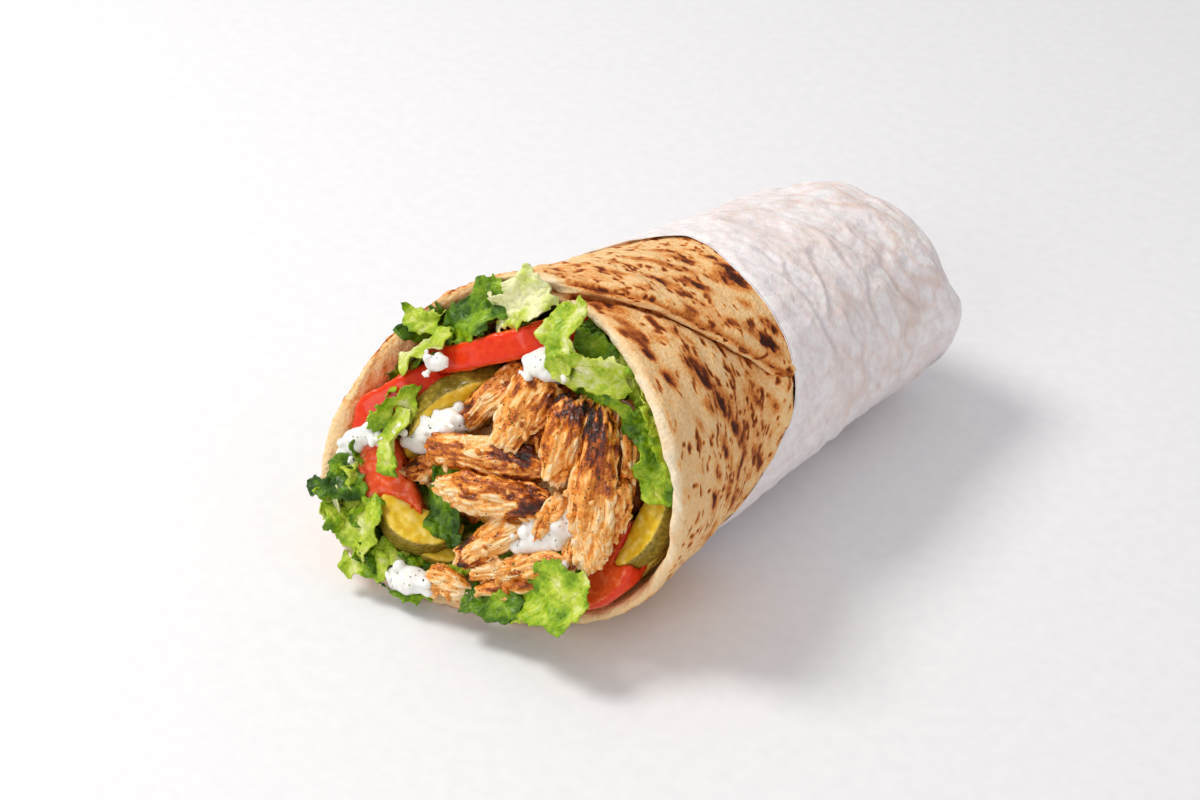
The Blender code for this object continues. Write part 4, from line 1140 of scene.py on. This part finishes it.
def make_crumbs(strips, material):
    """Small torn bits of chicken between and below the strips."""
    draw = np.random.default_rng(21)
    below = 0.5 * OUT_OF_MOUTH - 0.8 * MOUTH_AXES[:, 1]
    bm = bmesh.new()
    layer = bm.verts.layers.float.new("sear")
    for strip in strips:
        co, normals = points_of(strip.data), normals_of(strip.data)
        weight = np.clip(normals @ below, 0, None) ** 2
        for k in draw.choice(len(co), 5, p=weight / weight.sum()):
            sear = draw.uniform(0.15, 0.6)
            size = draw.uniform(0.7, 1.5) * MM
            stretch = np.array([1.0, draw.uniform(0.45, 0.8), draw.uniform(0.4, 0.7)]) * size
            turn = np.linalg.qr(draw.normal(size=(3, 3)))[0]
            for vert in bmesh.ops.create_icosphere(bm, subdivisions=2, radius=1)["verts"]:
                shape = np.array(vert.co)
                swell = 1 + 0.35 * noise(shape[None] * (1.0, 2.2, 2.2) + k, 3)[0]
                vert.co = Vector(co[k] + turn @ (shape * stretch * swell))
                vert[layer] = sear
    mesh = as_mesh("chicken_crumbs", bm)
    paint(mesh, along=points_of(mesh))
    return show("chicken_crumbs", mesh, material, "grilled_chicken")


def make_sauce_spots(look, material):
    """Small drops and smears of sauce on the food."""
    bm = bmesh.new()
    draw = np.random.default_rng(31)
    for *place, size in SAUCE_SPOTS:
        middle = np.array(MOUTH_MIDDLE) + MOUTH_AXES @ np.array(place) * MM
        for _ in range(6):
            at = Matrix.Translation(middle + MOUTH_AXES @ draw.normal(size=3) * size * 0.5 * MM)
            radius = size * draw.uniform(0.4, 0.8) * MM
            bmesh.ops.create_icosphere(bm, subdivisions=2, radius=radius, matrix=at)
    mesh = refined("sauce_spots", bm, look.strip_grain, 6)[0]
    return show("sauce_spots", mesh, material, "sauce")


def attribute_of(mesh, name):
    values = np.empty(len(mesh.vertices), np.float32)
    mesh.attributes[name].data.foreach_get("value", values)
    return values


# The add-on.


def shade(name, code, description):
    return bpy.props.FloatVectorProperty(
        name=name, description=description, subtype="COLOR", size=3, min=0, max=1, default=linear(code)
    )


def length(name, value, description):
    return bpy.props.FloatProperty(
        name=name, description=description, default=value, unit="LENGTH", precision=5
    )


class WrapBreadLook(bpy.types.PropertyGroup):
    crumb: shade("Crumb", "#FDE7C0", "Palest colour of the baked dough")
    relief: length("Relief", 1.0 * MM, "How high the bread's blisters and dimples stand")
    long_edge: length("Longest edge", 8 * MM, "Longest edge of the coarse sheet before it is refined")


class WrapPaperLook(bpy.types.PropertyGroup):
    paper: shade("Paper", "#FBF4F4", "Colour of the paper where nothing shows through")
    relief: length("Relief", 1.0 * MM, "How high the paper's creases stand")
    long_edge: length("Longest edge", 8 * MM, "Longest edge of the coarse sheet before it is refined")


class WrapFillingLook(bpy.types.PropertyGroup):
    meat: shade("Meat", "#FCE3BC", "Colour of the chicken's pale fibres")
    tomato: shade("Tomato skin", "#E22C0A", "Colour of the tomato's skin")
    pickle: shade("Pickle flesh", "#E9C638", "Colour of the pickle's flesh")
    leaf: shade("Lettuce", "#8BAF12", "Colour of the lettuce halfway between its tip and its rib")
    sauce: shade("Sauce", "#FBFAF5", "Colour of the sauce")
    strip_grain: length("Strip grain", 0.25 * MM, "Size of the faces on the chicken strips")
    grain: length("Grain", 0.42 * MM, "Size of the faces on slices and sauce")
    core_grain: length("Core grain", 1.1 * MM, "Size of the faces on what fills the roll")
    chicken_relief: length("Chicken relief", 1.0 * MM, "How high the chicken's fibres and crust stand")
    leaf_step: length("Leaf step", 0.36 * MM, "Size of the faces on the leaves")
    leaf_relief: length("Leaf relief", 1.0 * MM, "How high the leaves' ribs, blisters and frills stand")
    leaf_thickness: length("Leaf thickness", 0.4 * MM, "Thickness of a lettuce leaf")


class WrapStageLook(bpy.types.PropertyGroup):
    floor: shade("Floor", "#EDEDF0", "Colour of the floor")
    floor_size: length("Floor size", 6.0, "Width of the floor")
    camera_distance: length("Camera distance", 552 * MM, "Distance from the camera to the wrap")


class WRAP_OT_bread(bpy.types.Operator):
    """Add the griddled flatbread"""

    bl_idname = "wrap.bread"
    bl_label = "Flatbread"

    def execute(self, context):
        make_bread(context.scene.wrap_bread)
        return {"FINISHED"}


class WRAP_OT_paper(bpy.types.Operator):
    """Add the crumpled paper sleeve"""

    bl_idname = "wrap.paper"
    bl_label = "Paper Sleeve"

    def execute(self, context):
        make_sleeve(context.scene.wrap_paper)
        return {"FINISHED"}


class WRAP_OT_chicken(bpy.types.Operator):
    """Add the grilled chicken strips, the chicken behind them, and their herbs and pepper"""

    bl_idname = "wrap.chicken"
    bl_label = "Grilled Chicken"

    def execute(self, context):
        look = context.scene.wrap_filling
        meat = grilled_chicken(look)
        strips = [make_strip(k, look, meat) for k in range(1, len(STRIP_LOOKS) + 1)]
        make_core("chicken_filling", "chicken_core", look, meat, "chicken_filling", "sear")
        make_crumbs(strips, meat)
        pepper = dried_herb("Ground black pepper and char", "#140B07", "#3A2415", 0.8)
        herb = dried_herb("Dried oregano", "#2F3A12", "#5A6B22", 0.85)
        strew("pepper", strips, 1500, 0.5 * MM, 5, pepper, "grilled_chicken",
              lambda mesh: smooth((attribute_of(mesh, "sear") - 0.25) / 0.3) + 0.12)
        strew("oregano", strips, 60, 0.9 * MM, 6, herb, "grilled_chicken",
              lambda mesh: smooth((attribute_of(mesh, "sear") - 0.2) / 0.3))
        return {"FINISHED"}


class WRAP_OT_tomato(bpy.types.Operator):
    """Add the tomato slices"""

    bl_idname = "wrap.tomato"
    bl_label = "Tomato"

    def execute(self, context):
        look = context.scene.wrap_filling
        material = cut_tomato(look)
        for k, towards in enumerate(TOMATO_SKINS, 1):
            make_slice(f"tomato_slice_{k}", f"tomato_{k}", towards, look, material, "tomato", 0.22)
        return {"FINISHED"}


class WRAP_OT_pickle(bpy.types.Operator):
    """Add the pickle slices"""

    bl_idname = "wrap.pickle"
    bl_label = "Pickles"

    def execute(self, context):
        look = context.scene.wrap_filling
        material = pickled_cucumber(look)
        for k, towards in enumerate(PICKLE_SKINS, 1):
            make_slice(f"pickle_slice_{k}", f"pickle_{k}", towards, look, material, "pickle", 0.25)
        return {"FINISHED"}


class WRAP_OT_lettuce(bpy.types.Operator):
    """Add the torn lettuce leaves and the layer behind them"""

    bl_idname = "wrap.lettuce"
    bl_label = "Lettuce"

    def execute(self, context):
        look = context.scene.wrap_filling
        material = torn_lettuce(look)
        for k in range(1, len(LEAF_LOOKS) + 1):
            make_leaf(k, look, material)
        make_shreds(look, material)
        make_core("lettuce_layer", "lettuce_lining", look, material, "lettuce_layer", "pale")
        return {"FINISHED"}


class WRAP_OT_sauce(bpy.types.Operator):
    """Add the yoghurt sauce and its dill"""

    bl_idname = "wrap.sauce"
    bl_label = "Sauce"

    def execute(self, context):
        look = context.scene.wrap_filling
        material = yoghurt_sauce(look)
        dollops = [make_dollop(k, look, material) for k in range(1, 7)]
        make_sauce_spots(look, material)
        dill = dried_herb("Chopped dill", "#3E5220", "#7C8F4C", 0.7)
        strew("dill", dollops, 45, 0.7 * MM, 8, dill, "sauce", lambda mesh: np.ones(len(mesh.vertices)))
        return {"FINISHED"}


def add_light(name, place, target, size, power, colour):
    light = bpy.data.lights.new(name, "AREA")
    light.shape = "DISK"
    light.size = size
    light.energy = power
    light.color = colour
    lamp = bpy.data.objects.new(name, light)
    lamp.location = place
    lamp.rotation_euler = (Vector(target) - Vector(place)).to_track_quat("-Z", "Y").to_euler()
    bpy.context.scene.collection.objects.link(lamp)


def add_camera(look):
    """A camera to the right of the mouth that looks down on it, turned a little about its view."""
    azimuth, elevation, roll = math.radians(40.6), math.radians(34.6), math.radians(2.2)
    target = Vector((-9.5, -13.0, 27.6)) * MM
    right, up, back = map(Vector, facing_axes(azimuth, elevation).T)
    turned_right = right * math.cos(roll) + up * math.sin(roll)
    turned_up = up * math.cos(roll) - right * math.sin(roll)
    camera = bpy.data.cameras.new("camera")
    camera.lens = 67.37
    camera.sensor_width = 36
    camera.clip_start = 0.01
    holder = bpy.data.objects.new("camera", camera)
    axes = Matrix((turned_right, turned_up, back)).transposed().to_4x4()
    holder.matrix_world = Matrix.Translation(target + back * look.camera_distance) @ axes
    bpy.context.scene.collection.objects.link(holder)
    bpy.context.scene.camera = holder


class WRAP_OT_stage(bpy.types.Operator):
    """Add the floor, lights and camera"""

    bl_idname = "wrap.stage"
    bl_label = "Stage"

    def execute(self, context):
        look = context.scene.wrap_stage
        bm = bmesh.new()
        bmesh.ops.create_grid(bm, x_segments=1, y_segments=1, size=look.floor_size / 2)
        floor = bpy.data.objects.new("floor", as_mesh("floor", bm))
        floor.data.materials.append(studio_floor(look))
        context.scene.collection.objects.link(floor)
        world = bpy.data.worlds.new("soft studio")
        world.use_nodes = True
        world.node_tree.nodes["Background"].inputs["Color"].default_value = (*linear("#F7F5F6"), 1)
        world.node_tree.nodes["Background"].inputs["Strength"].default_value = 0.58
        context.scene.world = world
        middle = (0, -20 * MM, 30 * MM)
        add_light("key", (-0.55, -0.25, 0.85), middle, 0.36, 6.2, linear("#FFFDF8"))
        add_light("front", (0.15, -0.95, 0.55), middle, 0.6, 2.2, linear("#FFFFFF"))
        add_light("side", (0.85, 0.1, 0.5), middle, 0.6, 0.2, linear("#FFFFFF"))
        add_camera(look)
        context.scene.view_settings.view_transform = "Standard"
        return {"FINISHED"}


class WRAP_PT_panel(bpy.types.Panel):
    """The sidebar panel that lists the wrap's pieces"""

    bl_label = "Gyro Wrap"
    bl_idname = "WRAP_PT_panel"
    bl_space_type = "VIEW_3D"
    bl_region_type = "UI"
    bl_category = "Gyro Wrap"

    def draw(self, context):
        scene = context.scene
        for operator in OPERATORS:
            self.layout.operator(operator.bl_idname)
        for settings in (scene.wrap_bread, scene.wrap_paper, scene.wrap_filling, scene.wrap_stage):
            box = self.layout.box()
            for name in settings.__annotations__:
                box.prop(settings, name)


LOOKS = {
    "wrap_bread": WrapBreadLook,
    "wrap_paper": WrapPaperLook,
    "wrap_filling": WrapFillingLook,
    "wrap_stage": WrapStageLook,
}
OPERATORS = (
    WRAP_OT_stage, WRAP_OT_bread, WRAP_OT_paper, WRAP_OT_chicken,
    WRAP_OT_tomato, WRAP_OT_pickle, WRAP_OT_lettuce, WRAP_OT_sauce,
)


def register():
    for cls in (*LOOKS.values(), *OPERATORS, WRAP_PT_panel):
        bpy.utils.register_class(cls)
    for name, cls in LOOKS.items():
        setattr(bpy.types.Scene, name, bpy.props.PointerProperty(type=cls))


def unregister():
    for name in LOOKS:
        delattr(bpy.types.Scene, name)
    for cls in reversed((*LOOKS.values(), *OPERATORS, WRAP_PT_panel)):
        bpy.utils.unregister_class(cls)


def main():
    register()
    for operator in OPERATORS:
        family, name = operator.bl_idname.split(".")
        getattr(getattr(bpy.ops, family), name)()


if __name__ == "__main__":
    main()
